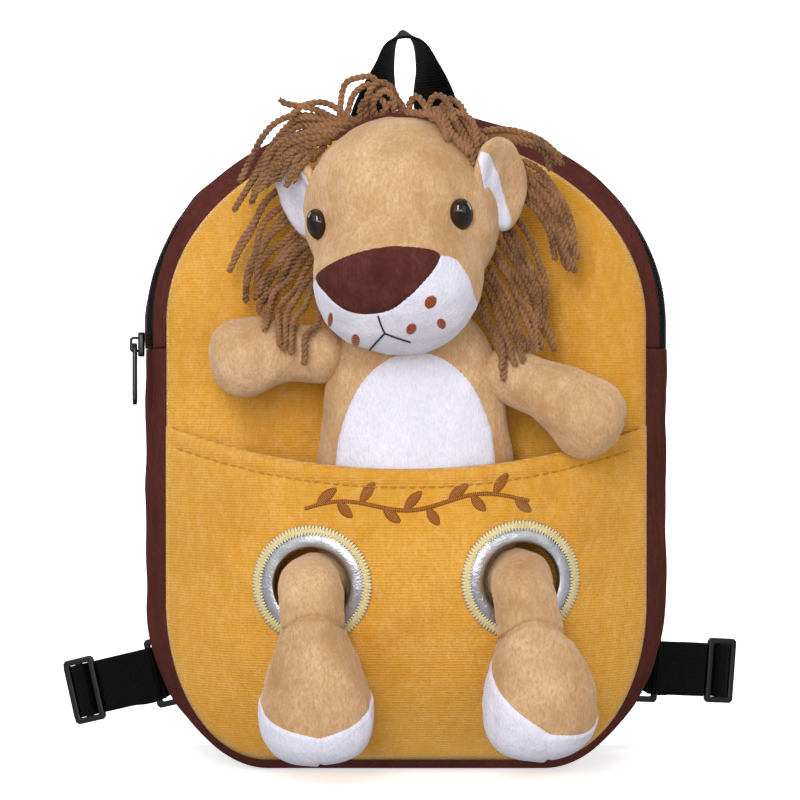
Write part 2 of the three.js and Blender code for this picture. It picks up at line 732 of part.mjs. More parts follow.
// Strap webbing: sewn behind the glide's centre bar, round the ring, back through the glide,
// round its outer bar and behind the bag to the end of the shoulder pad.
function webbingStations(side, frame) {
  const outerBar = (GLIDE_LENGTH - RING_BAR) / 2;
  const slot = outerBar / 2;
  const clear = GAP + WEBBING_THICKNESS;
  const low = RING_THICKNESS / 2 + GAP + WEBBING_THICKNESS / 2;
  const sewn = low + clear;
  const back = sewn + clear + GAP;
  const halfSlot = [[-0.68, 1], [-0.2, 0.75], [-0.054, 0.3]].map(([a, b]) => [a * RING_BAR, b * low]);
  const throughSlot = [...halfSlot, ...halfSlot.toReversed().map(([a, b]) => [-a, -b])];
  const atGlide = [
    [-outerBar - 2.29 * RING_BAR, -BAR_WRAP],
    [-outerBar - 1.64 * RING_BAR, -0.6 * BAR_WRAP],
    [-outerBar - 1.07 * RING_BAR, 0.45 * low],
    [-outerBar - 0.64 * RING_BAR, low],
    ...throughSlot.map(([a, b]) => [a - slot, b]),
    ...throughSlot.map(([a, b]) => [slot - a, b]).reverse(),
    [outerBar, low],
    [outerBar + 0.64 * RING_BAR, lerp(low, back, 0.06)],
    [outerBar + 1.04 * RING_BAR, lerp(low, back, 0.3)],
    [outerBar + 1.14 * RING_BAR, lerp(low, back, 0.6)],
    [outerBar + 0.86 * RING_BAR, lerp(low, back, 0.89)],
    [outerBar + 0.21 * RING_BAR, back],
  ].map(([a, b]) => [GLIDE_REACH + a, b]);
  const threaded = [
    [GLIDE_REACH + 0.7 * RING_BAR, sewn],
    [GLIDE_REACH - outerBar - 1.43 * RING_BAR, sewn],
    [RING_OUTER + 2.14 * RING_BAR, BAR_WRAP],
    ...wrapRound(RING_OUTER, 1),
    [RING_OUTER + 2.86 * RING_BAR, -BAR_WRAP],
    ...atGlide,
    [(GLIDE_REACH + RING_OUTER) / 2, back],
    [RING_OUTER, back],
  ].map(flatStation);
  const { sign } = SIDES[side];
  const toFrame = frame.clone().invert();
  const route = padRoute(sign);
  const padEnd = route.getPointAt(1);
  const padWay = route.getTangentAt(1);
  const meet = padEnd.clone().addScaledVector(padWay, GAP);
  const behind = vector(sign * (seamXAt(STRAP_HEIGHT) - 4), padEnd.y, lerp(STRAP_HEIGHT, PAD_END, 0.3));
  const between = behind.clone().lerp(meet, 0.5).add(vector(sign * 3, 0, -1));
  const rear = vector(0, 1, 0);
  const ways = [between.clone().sub(behind), meet.clone().sub(behind), padWay.clone().negate()];
  const loose = [behind, between, meet].map((at, index) => ({
    at: at.applyMatrix4(toFrame),
    across: ways[index].cross(rear).normalize().multiplyScalar(-1).transformDirection(toFrame),
  }));
  return [...threaded, ...loose];
}

function makeStrap(side) {
  const frame = strapFrame(SIDES[side]);
  const ring = barFrame(RING_LENGTH, RING_HEIGHT, 1).translate(RING_REACH, 0, 0);
  const glide = barFrame(GLIDE_LENGTH, GLIDE_HEIGHT, 2).translate(GLIDE_REACH, 0, 0);
  const webbing = ribbon(webbingStations(side, frame), WEBBING_WIDTH, WEBBING_THICKNESS);
  const hardware = group(
    piece(`strap_anchor_${side}`, makeAnchor(frame), BLACK_WEBBING),
    piece(`strap_ring_${side}`, ring, BLACK_PLASTIC),
    piece(`strap_webbing_${side}`, webbing, BLACK_WEBBING),
    piece(`strap_slider_${side}`, glide, BLACK_PLASTIC),
  );
  hardware.applyMatrix4(frame);
  return group(makeShoulderPad(side), hardware);
}

// Lion. Depths are measured forward from the front panel's face.
const ahead = (depth) => FRONT_FACE - depth;
const offPanel = (x, z) => frontSkin(x, z) - REST_GAP;

const BODY_SECTIONS = [
  { along: 0, wide: 0, deep: 0 },
  { along: 0.015, wide: 0.5, deep: 0.5 },
  { along: 0.07, wide: 0.82, deep: 0.82 },
  { along: 0.2, wide: 1, deep: 1 },
  { along: 0.45, wide: 1, deep: 1 },
  { along: 0.63, wide: 0.94, deep: 0.95 },
  { along: 0.8, wide: 0.84, deep: 0.84 },
  { along: 0.92, wide: 0.6, deep: 0.66 },
  { along: 0.985, wide: 0.3, deep: 0.36 },
  { along: 1, wide: 0, deep: 0 },
];

function bodyForm(grow) {
  const spine = new THREE.CatmullRomCurve3([
    vector(LION_X, ahead(0.5 * BODY_DEPTH), BODY_BASE),
    vector(LION_X, ahead(0.54 * BODY_DEPTH), BODY_BASE + 0.5 * BODY_HEIGHT),
    vector(LION_X * 0.4, ahead(0.82 * BODY_DEPTH), BODY_BASE + BODY_HEIGHT),
  ]);
  const sections = sized(BODY_SECTIONS, BODY_WIDTH / 2, BODY_DEPTH / 2);
  return stuffed(sections, spine, 16, vector(1, 0, 0), { boxy: 0.9, limit: offPanel, grow });
}

// A thin patch sewn on a form: the layer just outside it, within an outline.
function patchOn(form, outline) {
  return cut(overlapOf(form(GAP + PATCH), outline), form(GAP));
}

function bellyPrism(grow) {
  const half = BELLY_WIDTH / 2;
  const archFoot = BELLY_TOP - 1.5 * half;
  const foot = BODY_BASE + 0.18 * BODY_HEIGHT - grow;
  const shape = new THREE.Shape();
  shape.moveTo(LION_X - 0.8 * half - grow, foot);
  shape.lineTo(LION_X + 0.8 * half + grow, foot);
  shape.lineTo(LION_X + half + grow, archFoot);
  shape.absellipse(LION_X, archFoot, half + grow, 1.5 * half + grow, 0, Math.PI);
  shape.closePath();
  return prism(shape, ahead(3 * BODY_DEPTH), ahead(0.6 * BODY_DEPTH) + grow, 8);
}

function makeBellyPatch() {
  return piece('belly_patch', patchOn(bodyForm, bellyPrism(0)), WHITE_PLUSH);
}

// The room that the patch takes, which the pieces beside it keep clear of.
const bellyForm = () => overlapOf(bodyForm(2 * GAP + PATCH), bellyPrism(REST_GAP));

// The head is an egg with a muzzle drawn out of its lower front.
const HEAD_HEIGHT_AT = BODY_BASE + BODY_HEIGHT + HEAD_RISE;
const HEAD_CENTRE = vector(HEAD_X, ahead(HEAD_DEPTH / 2 + HEAD_STANDOFF), HEAD_HEIGHT_AT);
const HEAD_TILT = new THREE.Euler(degToRad(HEAD_PITCH), degToRad(HEAD_ROLL), degToRad(HEAD_TURN), 'ZXY');
const HEAD_MATRIX = new THREE.Matrix4().makeRotationFromEuler(HEAD_TILT).setPosition(HEAD_CENTRE);
const MUZZLE_WAY = vector(0, -Math.cos(degToRad(MUZZLE_DROP)), -Math.sin(degToRad(MUZZLE_DROP)));

function headReach(way) {
  const egg = Math.hypot(way.x / (HEAD_WIDTH / 2), way.y / (HEAD_DEPTH / 2), way.z / (HEAD_HEIGHT / 2));
  const muzzle = smoothstep(way.dot(MUZZLE_WAY), 0.45, 1);
  return 1 / egg + MUZZLE_REACH * muzzle;
}

const headPoint = (way, grow) => way.clone().multiplyScalar(headReach(way) + grow).applyMatrix4(HEAD_MATRIX);

// A direction by its share of the turn round and by its share of the way down from the top.
function wayOnBall(round, down) {
  const way = vector().setFromSphericalCoords(1, down * Math.PI, round * 2 * Math.PI);
  return vector(way.x, -way.z, way.y);
}

function headForm(grow) {
  const [sides, rows] = [18, 11];
  return ball(sides, rows, (side, row) => headPoint(wayOnBall(side / sides, row / rows), grow));
}

function makeHead() {
  return piece('lion_head', cut(headForm(0), bodyForm(GAP)), TAN_PLUSH);
}

// Outlines on the muzzle, as shares of the head's width from the head's centre.
const NOSE_OUTLINE = [
  { out: -0.43, up: -0.34 },
  { out: -0.3, up: -0.24 },
  { out: -0.1, up: -0.19 },
  { out: 0.1, up: -0.19 },
  { out: 0.19, up: -0.23 },
  { out: 0.13, up: -0.34 },
  { out: -0.02, up: -0.48 },
  { out: -0.13, up: -0.52 },
  { out: -0.27, up: -0.5 },
];
const MUZZLE_OUTLINE = [
  { out: -0.75, up: -0.36 },
  { out: -0.5, up: -0.36 },
  { out: -0.12, up: -0.3 },
  { out: 0.23, up: -0.24 },
  { out: 0.36, up: -0.26 },
  { out: 0.44, up: -0.36 },
  { out: 0.75, up: -0.5 },
  { out: 0.75, up: -1.2 },
  { out: -0.75, up: -1.2 },
];

function muzzlePrism(outline) {
  const shape = new THREE.Shape(outline.map(({ out, up }) => (
    new THREE.Vector2(HEAD_CENTRE.x + out * HEAD_WIDTH, HEAD_CENTRE.z + up * HEAD_WIDTH)
  )));
  return prism(shape, HEAD_CENTRE.y - HEAD_DEPTH - MUZZLE_REACH, HEAD_CENTRE.y - 0.16 * HEAD_DEPTH);
}

function makeMuzzlePatch() {
  const nose = muzzlePrism(NOSE_OUTLINE);
  const skin = patchOn(headForm, muzzlePrism(MUZZLE_OUTLINE));
  return piece('muzzle_patch', cut(skin, nose, bodyForm(GAP), bellyForm()), WHITE_PLUSH);
}

function makeNosePatch() {
  const inner = NOSE_OUTLINE.map(({ out, up }) => {
    const middle = { out: -0.13, up: -0.36 };
    return { out: lerp(middle.out, out, 0.98), up: lerp(middle.up, up, 0.98) };
  });
  return piece('nose_patch', patchOn(headForm, muzzlePrism(inner)), NOSE_PLUSH);
}

// A flattened ball at a place on the head, turned outward.
function headBall(centre, radii, turn, sides, rows) {
  const place = new THREE.Matrix4().makeRotationZ(turn).setPosition(centre).premultiply(HEAD_MATRIX);
  return ball(sides, rows, (side, row) => (
    wayOnBall(side / sides, row / rows).multiply(radii).applyMatrix4(place)
  ));
}

function makeEye(side) {
  const { sign } = SIDES[side];
  const [out, up] = [degToRad(EYE_OUT), degToRad(EYE_UP)];
  const way = vector(sign * Math.sin(out) * Math.cos(up), -Math.cos(out) * Math.cos(up), Math.sin(up));
  const centre = way.clone().multiplyScalar(headReach(way));
  const dome = headBall(centre, vector(EYE_WIDTH / 2, EYE_WIDTH * 0.42, EYE_HEIGHT / 2), sign * out, 10, 6);
  return piece(`eye_${side}`, cut(dome, headForm(GAP)), GLOSS_BLACK);
}

function earCentre(sign, forward) {
  const turn = degToRad(EAR_TURN);
  const root = vector(sign * HEAD_WIDTH * 0.52, HEAD_DEPTH * 0.06, HEAD_HEIGHT * 0.13);
  return root.add(vector(sign * Math.sin(turn) * forward, -Math.cos(turn) * forward, 0));
}

function earForm(side, grow) {
  const { sign } = SIDES[side];
  const radii = vector(EAR_WIDTH / 2 + grow, EAR_THICKNESS / 2 + grow, EAR_HEIGHT / 2 + grow);
  return headBall(earCentre(sign, 0), radii, sign * degToRad(EAR_TURN), 12, 6);
}

function makeEar(side) {
  return piece(`ear_${side}`, cut(earForm(side, 0), headForm(GAP)), TAN_PLUSH);
}

function liningForm(side, grow) {
  const { sign } = SIDES[side];
  const radii = vector(EAR_WIDTH * 0.36 + grow, EAR_THICKNESS * 0.36 + grow, EAR_HEIGHT * 0.36 + grow);
  return headBall(earCentre(sign, EAR_THICKNESS * 0.3), radii, sign * degToRad(EAR_TURN), 10, 6);
}

function makeEarLining(side) {
  const lining = cut(liningForm(side, 0), earForm(side, GAP), headForm(GAP));
  return piece(`ear_lining_${side}`, lining, WHITE_PLUSH);
}

// Mane: locks of yarn fused to a band that is sewn over the head behind the ears.
const downInHead = vector(0, 0, -1).transformDirection(HEAD_MATRIX.clone().invert());

function maneWay(angle, back) {
  return vector(Math.sin(angle), back, Math.cos(angle)).normalize();
}

function maneBand() {
  const turns = 16;
  return slab(turns, 1, (along, across, layer) => {
    const angle = degToRad(lerp(-MANE_HALF_TURN, MANE_HALF_TURN, along / turns));
    const way = maneWay(angle, MANE_BACK + 0.4 * across);
    return headPoint(way, REST_GAP + layer * MANE_THICKNESS);
  });
}

// Each lock leaves the band outward and falls; the outer ones are the longest.
const LOCK_SECTIONS = [
  { along: 0, wide: 0, deep: 0 },
  { along: 0.05, wide: 0.8, deep: 0.8 },
  { along: 0.6, wide: 1, deep: 0.9 },
  { along: 1, wide: 0, deep: 0 },
];

function maneLock(index) {
  const share = (index + 0.5) / MANE_LOCKS;
  const angle = degToRad(lerp(-MANE_HALF_TURN, MANE_HALF_TURN, share));
  const way = maneWay(angle, MANE_BACK + 0.08 + 0.22 * (index % 2));
  const root = way.clone().multiplyScalar(headReach(way) + REST_GAP + MANE_THICKNESS * 0.6);
  const length = MANE_LENGTH * (0.4 + 0.6 * Math.abs(Math.sin(angle)) - 0.12 * (index % 3));
  const points = range(5).map((step) => {
    const s = step / 4;
    const out = way.clone().multiplyScalar(length * 0.95 * s * (1 - 0.35 * s));
    return root.clone().add(out).addScaledVector(downInHead, length * 0.8 * s * s).applyMatrix4(HEAD_MATRIX);
  });
  const sections = sized(LOCK_SECTIONS, LOCK_WIDTH / 2, LOCK_WIDTH / 2);
  const limit = (x, z) => offPanel(x, z) - 3 * REST_GAP;
  return stuffed(sections, new THREE.CatmullRomCurve3(points), 5, vector(0, 1, 0.01), { limit });
}

function makeMane() {
  const locks = range(MANE_LOCKS).map((index) => solid(maneLock(index)));
  const joined = locks.reduce((body, lock) => body.add(lock), solid(maneBand()));
  const besideIt = BOTH.flatMap((side) => [earForm, liningForm, armForm].map((form) => form(side, GAP)));
  const clear = [headForm(GAP), bodyForm(GAP), ...besideIt];
  return piece('mane', cut(surface(joined), ...clear), YARN);
}

// Arms: shares of the arm's length and of the paw's half width.
const ARM_SECTIONS = [
  { along: 0, wide: 0, deep: 0 },
  { along: 0.04, wide: 0.5, deep: 0.5 },
  { along: 0.15, wide: 0.74, deep: 0.74 },
  { along: 0.4, wide: 0.8, deep: 0.76 },
  { along: 0.62, wide: 0.95, deep: 0.84 },
  { along: 0.78, wide: 1, deep: 0.86 },
  { along: 0.9, wide: 0.82, deep: 0.72 },
  { along: 0.97, wide: 0.48, deep: 0.42 },
  { along: 1, wide: 0, deep: 0 },
];
// Arm directions, as shares of the arm's length out, forward and up from the shoulder.
const ARM_WAYS = {
  left: [
    { out: 0, forward: 0, up: 0 },
    { out: 0.5, forward: 0.04, up: 0.03 },
    { out: 0.93, forward: 0.05, up: -0.06 },
  ],
  right: [
    { out: 0, forward: 0, up: -0.05 },
    { out: 0.46, forward: 0.14, up: -0.26 },
    { out: 0.88, forward: 0.25, up: -0.56 },
  ],
};

function armForm(side, grow) {
  const { sign } = SIDES[side];
  const shoulder = vector(LION_X + sign * SHOULDER_SPREAD, ahead(0.68 * BODY_DEPTH), SHOULDER_HEIGHT);
  const route = new THREE.CatmullRomCurve3(ARM_WAYS[side].map(({ out, forward, up }) => (
    shoulder.clone().add(vector(sign * out, -forward, up).multiplyScalar(ARM_LENGTH))
  )));
  const sections = sized(ARM_SECTIONS, ARM_WIDTH / 2, ARM_WIDTH / 2);
  return stuffed(sections, route, 12, vector(0, 0, 1), { limit: offPanel, grow });
}

function makeArm(side) {
  return piece(`arm_${side}`, cut(armForm(side, 0), bodyForm(GAP), bellyForm()), TAN_PLUSH);
}

// Legs: shares of the leg's length and of the foot's half width and depth.
const LEG_SECTIONS = [
  { along: 0, wide: 0, deep: 0 },
  { along: 0.03, wide: 0.34, deep: 0.42 },
  { along: 0.12, wide: 0.53, deep: 0.66 },
  { along: 0.28, wide: 0.55, deep: 0.68 },
  { along: 0.42, wide: 0.55, deep: 0.66 },
  { along: 0.52, wide: 0.6, deep: 0.7 },
  { along: 0.63, wide: 0.8, deep: 0.84 },
  { along: 0.76, wide: 1, deep: 1 },
  { along: 0.88, wide: 0.93, deep: 0.92 },
  { along: 0.96, wide: 0.62, deep: 0.6 },
  { along: 1, wide: 0, deep: 0 },
];
// How far each leg leans outward over its drop, and how its sole faces, as slopes.
const LEG_LEAN = { left: 0.04, right: 0.13 };
const SOLE_SLOPE = { left: { across: 0, back: 0.83 }, right: { across: -0.55, back: 0.8 } };
const SOLE_RISE = 0.17;

function legForm(side, grow) {
  const { x, z } = HOLES[side];
  const lean = LEG_LEAN[side] * FOOT_DROP;
  const skin = pocketSkin(x, z);
  const out = skin - LEG_BEND;
  const route = new THREE.CatmullRomCurve3([
    vector(lerp(LION_X, x, 0.8), ahead(0.5 * BODY_DEPTH), z),
    vector(x, skin + CLOTH, z),
    vector(x, lerp(skin, out, 0.72), z - LEG_BEND * 0.2),
    vector(lerp(x, x + lean, 0.2), out, z - LEG_BEND),
    vector(lerp(x, x + lean, 0.6), out + 1.5, z - 0.52 * FOOT_DROP),
    vector(x + lean, out + 5, z - FOOT_DROP),
  ]);
  const keepOff = (px, pz) => (pz < z - HOLE_RADIUS ? pocketSkin(px, pz) - REST_GAP : Infinity);
  const sections = sized(LEG_SECTIONS, FOOT_WIDTH / 2, FOOT_DEPTH / 2);
  return stuffed(sections, route, 14, vector(1, 0, 0), { limit: keepOff, grow });
}

function makeLeg(side) {
  return piece(`leg_${side}`, cut(legForm(side, 0), bodyForm(GAP), bellyForm()), TAN_PLUSH);
}

// The sole is a white patch under a sloping plane across the foot.
function makeSole(side) {
  const { x, z } = HOLES[side];
  const { across, back } = SOLE_SLOPE[side];
  const reach = 2 * FOOT_WIDTH;
  const toe = pocketSkin(x, z) - LEG_BEND - FOOT_DEPTH / 2;
  const middle = vector(x + LEG_LEAN[side] * FOOT_DROP, toe, z - FOOT_DROP);
  const half = slab(1, 1, (along, depth, layer) => {
    const [dx, dy] = [(along - 0.5) * 2 * reach, (depth - 0.5) * 2 * reach];
    const top = SOLE_RISE * FOOT_DROP + across * dx + back * dy;
    return middle.clone().add(vector(dx, dy, layer === 1 ? top : top - 3 * reach));
  });
  const form = (grow) => legForm(side, grow);
  return piece(`sole_${side}`, cut(patchOn(form, half), bellyForm()), WHITE_PLUSH);
}

const bag = group(
  makeGussetBase(),
  makeGussetArch('gusset_arch_front', archFrontRows),
  makeGussetArch('gusset_arch_back', archBackRows),
  makeFrontPanel(),
  makeBackPanel(),
  makePocket(),
  ...BOTH.map((side) => makeHoleRing(side)),
  makeHandle(),
  makeZip(),
);
const straps = group(...BOTH.map(makeStrap));
const lion = group(
  piece('lion_body', bodyForm(0), TAN_PLUSH),
  makeBellyPatch(),
  makeHead(),
  makeMuzzlePatch(),
  makeNosePatch(),
  ...[makeEye, makeEar, makeEarLining, makeArm, makeLeg, makeSole].flatMap((make) => BOTH.map(make)),
  makeMane(),
);

export default group(bag, straps, lion);
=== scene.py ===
"""Toddler backpack with a plush lion in its front pocket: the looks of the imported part.

Sizes are in millimetres until a mesh is placed, +Z is up and the front faces -Y.
"""

import math
from functools import partial

import bmesh
import bpy
import numpy as np
from mathutils import Matrix, Vector
from mathutils.bvhtree import BVHTree


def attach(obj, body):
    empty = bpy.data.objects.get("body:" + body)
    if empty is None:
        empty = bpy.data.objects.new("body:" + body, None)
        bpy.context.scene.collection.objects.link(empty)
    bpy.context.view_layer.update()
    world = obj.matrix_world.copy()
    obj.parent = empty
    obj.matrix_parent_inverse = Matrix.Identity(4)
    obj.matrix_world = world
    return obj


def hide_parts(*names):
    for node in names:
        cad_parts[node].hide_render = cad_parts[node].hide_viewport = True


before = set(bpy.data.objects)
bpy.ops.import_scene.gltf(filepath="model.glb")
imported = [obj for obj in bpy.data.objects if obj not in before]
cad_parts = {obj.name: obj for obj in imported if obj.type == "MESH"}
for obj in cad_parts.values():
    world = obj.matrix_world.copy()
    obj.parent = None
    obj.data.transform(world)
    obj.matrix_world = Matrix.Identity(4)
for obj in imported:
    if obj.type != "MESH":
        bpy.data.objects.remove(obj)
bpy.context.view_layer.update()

MM = 0.001
BOTH = ("left", "right")
SIGN = {"left": -1, "right": 1}

# Cloth and clearances
GAP = 0.3
REST_GAP = 0.8
CLOTH = 3
PILE_CLOTH = 2.6
POCKET_CLOTH = 2.4
BACK_CLOTH = 5
PATCH_TUCK = 2.2

# Bag
BAG_WIDTH = 237
BAG_HEIGHT = 293
BAG_DEPTH = 92
BASE_DEPTH = 68
ARCH_RISE = 96
CORNER_REACH = 58
CORNER_RISE = 74
SIDE_BULGE = 14
SEAM_LIFT = 6
PANEL_DOME = 11
BACK_PAD = 9
BACK_DOME = 3
ARCH_START = BAG_HEIGHT - ARCH_RISE
PANEL_CENTRE = BAG_HEIGHT / 2
FRONT_FACE = -(BAG_DEPTH / 2 + GAP + CLOTH)
BACK_FACE = BAG_DEPTH / 2 + GAP + BACK_PAD

# Pocket, its hem and its two holes
POCKET_DEPTH = 45
POCKET_CENTRE = 117
HEM_HEIGHT = 134
HEM_SAG = 22
HEM_FOLD = 7.7
HOLE_RADIUS = 15.5
HOLE_CUT = 18.5
RING_WIDTH = 9.5
HOLES = {"left": (-39.8, 85), "right": (48.3, 87)}

# Zip over the arch
ZIP_END_HEIGHT = 185
ZIP_SETBACK = 33
ZIP_OPENING = 16
ZIP_STATION = 2 + (ZIP_END_HEIGHT - CORNER_RISE) / (ARCH_START - CORNER_RISE)
ZIP_RUN = 560
COIL_PITCH = 1.5
COIL_STEP = 0.25
COIL_SPACING = 0.95
COIL_THREAD = 0.33

# Webbing and its hardware
WEBBING_WIDTH = 25
WEBBING_THICKNESS = 1.4
HANDLE_RISE = 39
HANDLE_HALF_SPAN = 15
HANDLE_SETBACK = 36
RING_BAR = 2.8
RING_THICKNESS = 2.4
RING_LENGTH = 14
RING_REACH = 12
GLIDE_LENGTH = 16
GLIDE_REACH = 55
STRAP_HEIGHT = 36
STRAP_YAW = {"left": 20, "right": 29}
STRAP_DROOP = {"left": 14, "right": 5}
BAR_WRAP = math.hypot(RING_BAR, RING_THICKNESS) / 2 + GAP + WEBBING_THICKNESS / 2

# Shoulder pads
PAD_WIDTH = 42
PAD_THICKNESS = 9
PAD_TOP = 264
PAD_TOP_SPREAD = 28
PAD_END = 84
PAD_END_SPREAD = 76
PAD_BOW = 13

# Plush lion
LION_X = 4
BODY_BASE = 65
BODY_HEIGHT = 143
BODY_WIDTH = 84
BODY_DEPTH = 40
BELLY_WIDTH = 68
BELLY_TOP = 183
HEAD_WIDTH = 82
HEAD_DEPTH = 76
HEAD_HEIGHT = 84
HEAD_X = -2
HEAD_RISE = 32
HEAD_STANDOFF = 9
HEAD_PITCH = 34
HEAD_ROLL = -4
HEAD_TURN = -10
MUZZLE_REACH = 20
MUZZLE_DROP = 25
EYE_WIDTH = 10.6
EYE_HEIGHT = 14
EYE_OUT = 53
EYE_UP = 17
EAR_HEIGHT = 44
EAR_WIDTH = 31
EAR_THICKNESS = 9
EAR_TURN = {"left": 40, "right": 58}
EAR_LOW = {"left": 0.0, "right": 2.0}
EAR_LEAN = {"left": 0.0, "right": 9.0}
EAR_LINING = {"left": (0.0, 1.0, 1.0), "right": (-0.36, 0.44, 1.1)}
ARM_WIDTH = 34
ARM_LENGTH = 62
SHOULDER_SPREAD = 30
SHOULDER_HEIGHT = 181
FOOT_WIDTH = 47
FOOT_DEPTH = 38
FOOT_DROP = 75
LEG_BEND = 13

# Yarn and thread
YARN_PLY = 0.86
YARN_OFFSET = 0.76
YARN_PITCH = 4.8
YARN_CRIMP = 0.1
YARN_CLEARANCE = 2.2
OVERLOCK_THREAD = 0.34
HEM_THREAD = 0.32
STITCH_LENGTH = 3.1
STITCH_PITCH = 4.0
HEM_RUN = 99

# Patterns. The pile's fibres and the satin's threads are too fine to show, and are drawn this coarse
TUFT = 4.5
PILE_GRAIN = 1.1
RIB = 1.3
WARP = 0.9
SATIN = 0.8

# Studio
FLOOR_REACH = 2200
WALL_CURVE = 900
WALL_HEIGHT = 3200


# Numbers and curves


def mix(low, high, share):
    return low + (high - low) * share


def ease(value, low, high):
    share = np.clip((value - low) / (high - low), 0, 1)
    return share * share * (3 - 2 * share)


def points(x, y, z):
    return np.stack(np.broadcast_arrays(x, y, z), -1).astype(float)


def unit(ways):
    return ways / np.maximum(np.linalg.norm(ways, axis=-1, keepdims=True), 1e-9)


def lengths(line):
    """How far along a line each of its points lies."""
    return np.concatenate([[0], np.cumsum(np.linalg.norm(np.diff(line, axis=0), axis=1))])


def lumps(places, size, seed, waves=14):
    """A soft random swell from -1 to 1, with hills of about that size in mm."""
    dice = np.random.default_rng(seed)
    ways = unit(dice.normal(size=(waves, 3))) * (2 * math.pi / size) * dice.uniform(0.6, 1.5, (waves, 1))
    swell = np.sin(places @ ways.T + dice.uniform(0, 2 * math.pi, waves)).sum(-1)
    return swell / math.sqrt(waves) * 0.8


def through(values, share):
    """A smooth curve through evenly spaced rows of values, read at shares from 0 to 1."""
    rows = np.asarray(values, float)
    rows = rows.reshape(len(rows), -1)
    last = len(rows) - 1
    at = np.clip(share, 0, 1) * last
    first = np.clip(np.floor(at).astype(int), 0, last - 1)
    t = (at - first)[:, None]
    padded = np.vstack([2 * rows[0] - rows[1], rows, 2 * rows[-1] - rows[-2]])
    a, b, c, d = (padded[first + step] for step in range(4))
    bend = (2 * a - 5 * b + 4 * c - d) * t ** 2
    swing = (3 * b - a - 3 * c + d) * t ** 3
    return 0.5 * (2 * b + (c - a) * t + bend + swing)


class Route:
    """A smooth line through a few points, read by its share of length."""

    def __init__(self, stops):
        stops = np.asarray(stops, float)
        last = len(stops) - 1
        padded = np.vstack([2 * stops[0] - stops[1], stops, 2 * stops[-1] - stops[-2]])
        at = np.linspace(0, last, 60 * last + 1)
        first = np.clip(np.floor(at).astype(int), 0, last - 1)
        t = (at - first)[:, None]
        a, b, c, d = (padded[first + step] for step in range(4))
        steps = [np.linalg.norm(q - p, axis=1)[:, None] ** 0.5 for p, q in ((a, b), (b, c), (c, d))]
        start = ((b - a) / steps[0] - (c - a) / (steps[0] + steps[1]) + (c - b) / steps[1]) * steps[1]
        end = ((c - b) / steps[1] - (d - b) / (steps[1] + steps[2]) + (d - c) / steps[2]) * steps[1]
        self.line = (b + start * t + (3 * (c - b) - 2 * start - end) * t ** 2
                     + (2 * (b - c) + start + end) * t ** 3)
        self.reach = lengths(self.line)
        self.length = self.reach[-1]

    def at(self, share):
        where = np.clip(share, 0, 1) * self.length
        return np.stack([np.interp(where, self.reach, self.line[:, k]) for k in range(3)], -1)

    def way(self, share):
        return unit(self.at(np.clip(share + 0.01, 0, 1)) - self.at(np.clip(share - 0.01, 0, 1)))


def distance_inside(x, z, outline):
    """How far inside a closed outline each place lies, in mm, and less than 0 outside it."""
    from_x, from_z = outline[:, 0], outline[:, 1]
    to_x, to_z = np.roll(from_x, -1), np.roll(from_z, -1)
    dx, dz = to_x - from_x, to_z - from_z
    px, pz = x[:, None] - from_x, z[:, None] - from_z
    along = np.clip((px * dx + pz * dz) / (dx ** 2 + dz ** 2), 0, 1)
    nearest = np.hypot(px - along * dx, pz - along * dz).min(1)
    crosses = ((from_z > z[:, None]) != (to_z > z[:, None])) & (
        px < dx * pz / np.where(dz == 0, 1e-9, dz))
    return np.where(crosses.sum(1) % 2 == 1, nearest, -nearest)


def rounded_outline(corners):
    """A closed outline with its corners drawn round."""
    ring = np.vstack([corners[-1:], corners, corners[:2]])
    share = np.linspace(1, len(corners) + 1, 10 * len(corners), endpoint=False) / (len(ring) - 1)
    return through(ring, share)


# The bag's outline and skins


def outline(station, inset, lift):
    """Stations 0 to 4 run up the right half: flat base, corner, side and arch. 4 to 8 come down."""
    turned = np.mod(station, 8)
    side = np.where(turned <= 4, 1, -1)
    place = np.where(turned <= 4, turned, 8 - turned)
    leg = np.clip(np.floor(place), 0, 3)
    share = place - leg
    turn = share * math.pi / 2
    half = BAG_WIDTH / 2 - CORNER_REACH
    side_x = BAG_WIDTH / 2 - inset
    legs = [leg == 0, leg == 1, leg == 2, leg == 3]
    x = np.select(legs, [
        half * share,
        mix(half, side_x, np.sin(turn)),
        side_x + 0 * share,
        side_x * np.cos(turn),
    ])
    z = np.select(legs, [
        lift + 0 * share,
        CORNER_RISE - (CORNER_RISE - lift) * np.cos(turn),
        mix(CORNER_RISE, ARCH_START, share),
        ARCH_START + (ARCH_RISE - inset) * np.sin(turn),
    ])
    return side * x, z


def even_stations(first, last, shares):
    """Stations spaced evenly along the seam between two of them."""
    dense = np.linspace(first, last, 2000)
    x, z = outline(dense, SIDE_BULGE, SEAM_LIFT)
    reach = np.concatenate([[0], np.cumsum(np.hypot(np.diff(x), np.diff(z)))])
    return np.interp(shares * reach[-1], reach, dense)


SEAM = np.stack(outline(even_stations(0, 8, np.arange(240) / 240), SIDE_BULGE, SEAM_LIFT), -1)


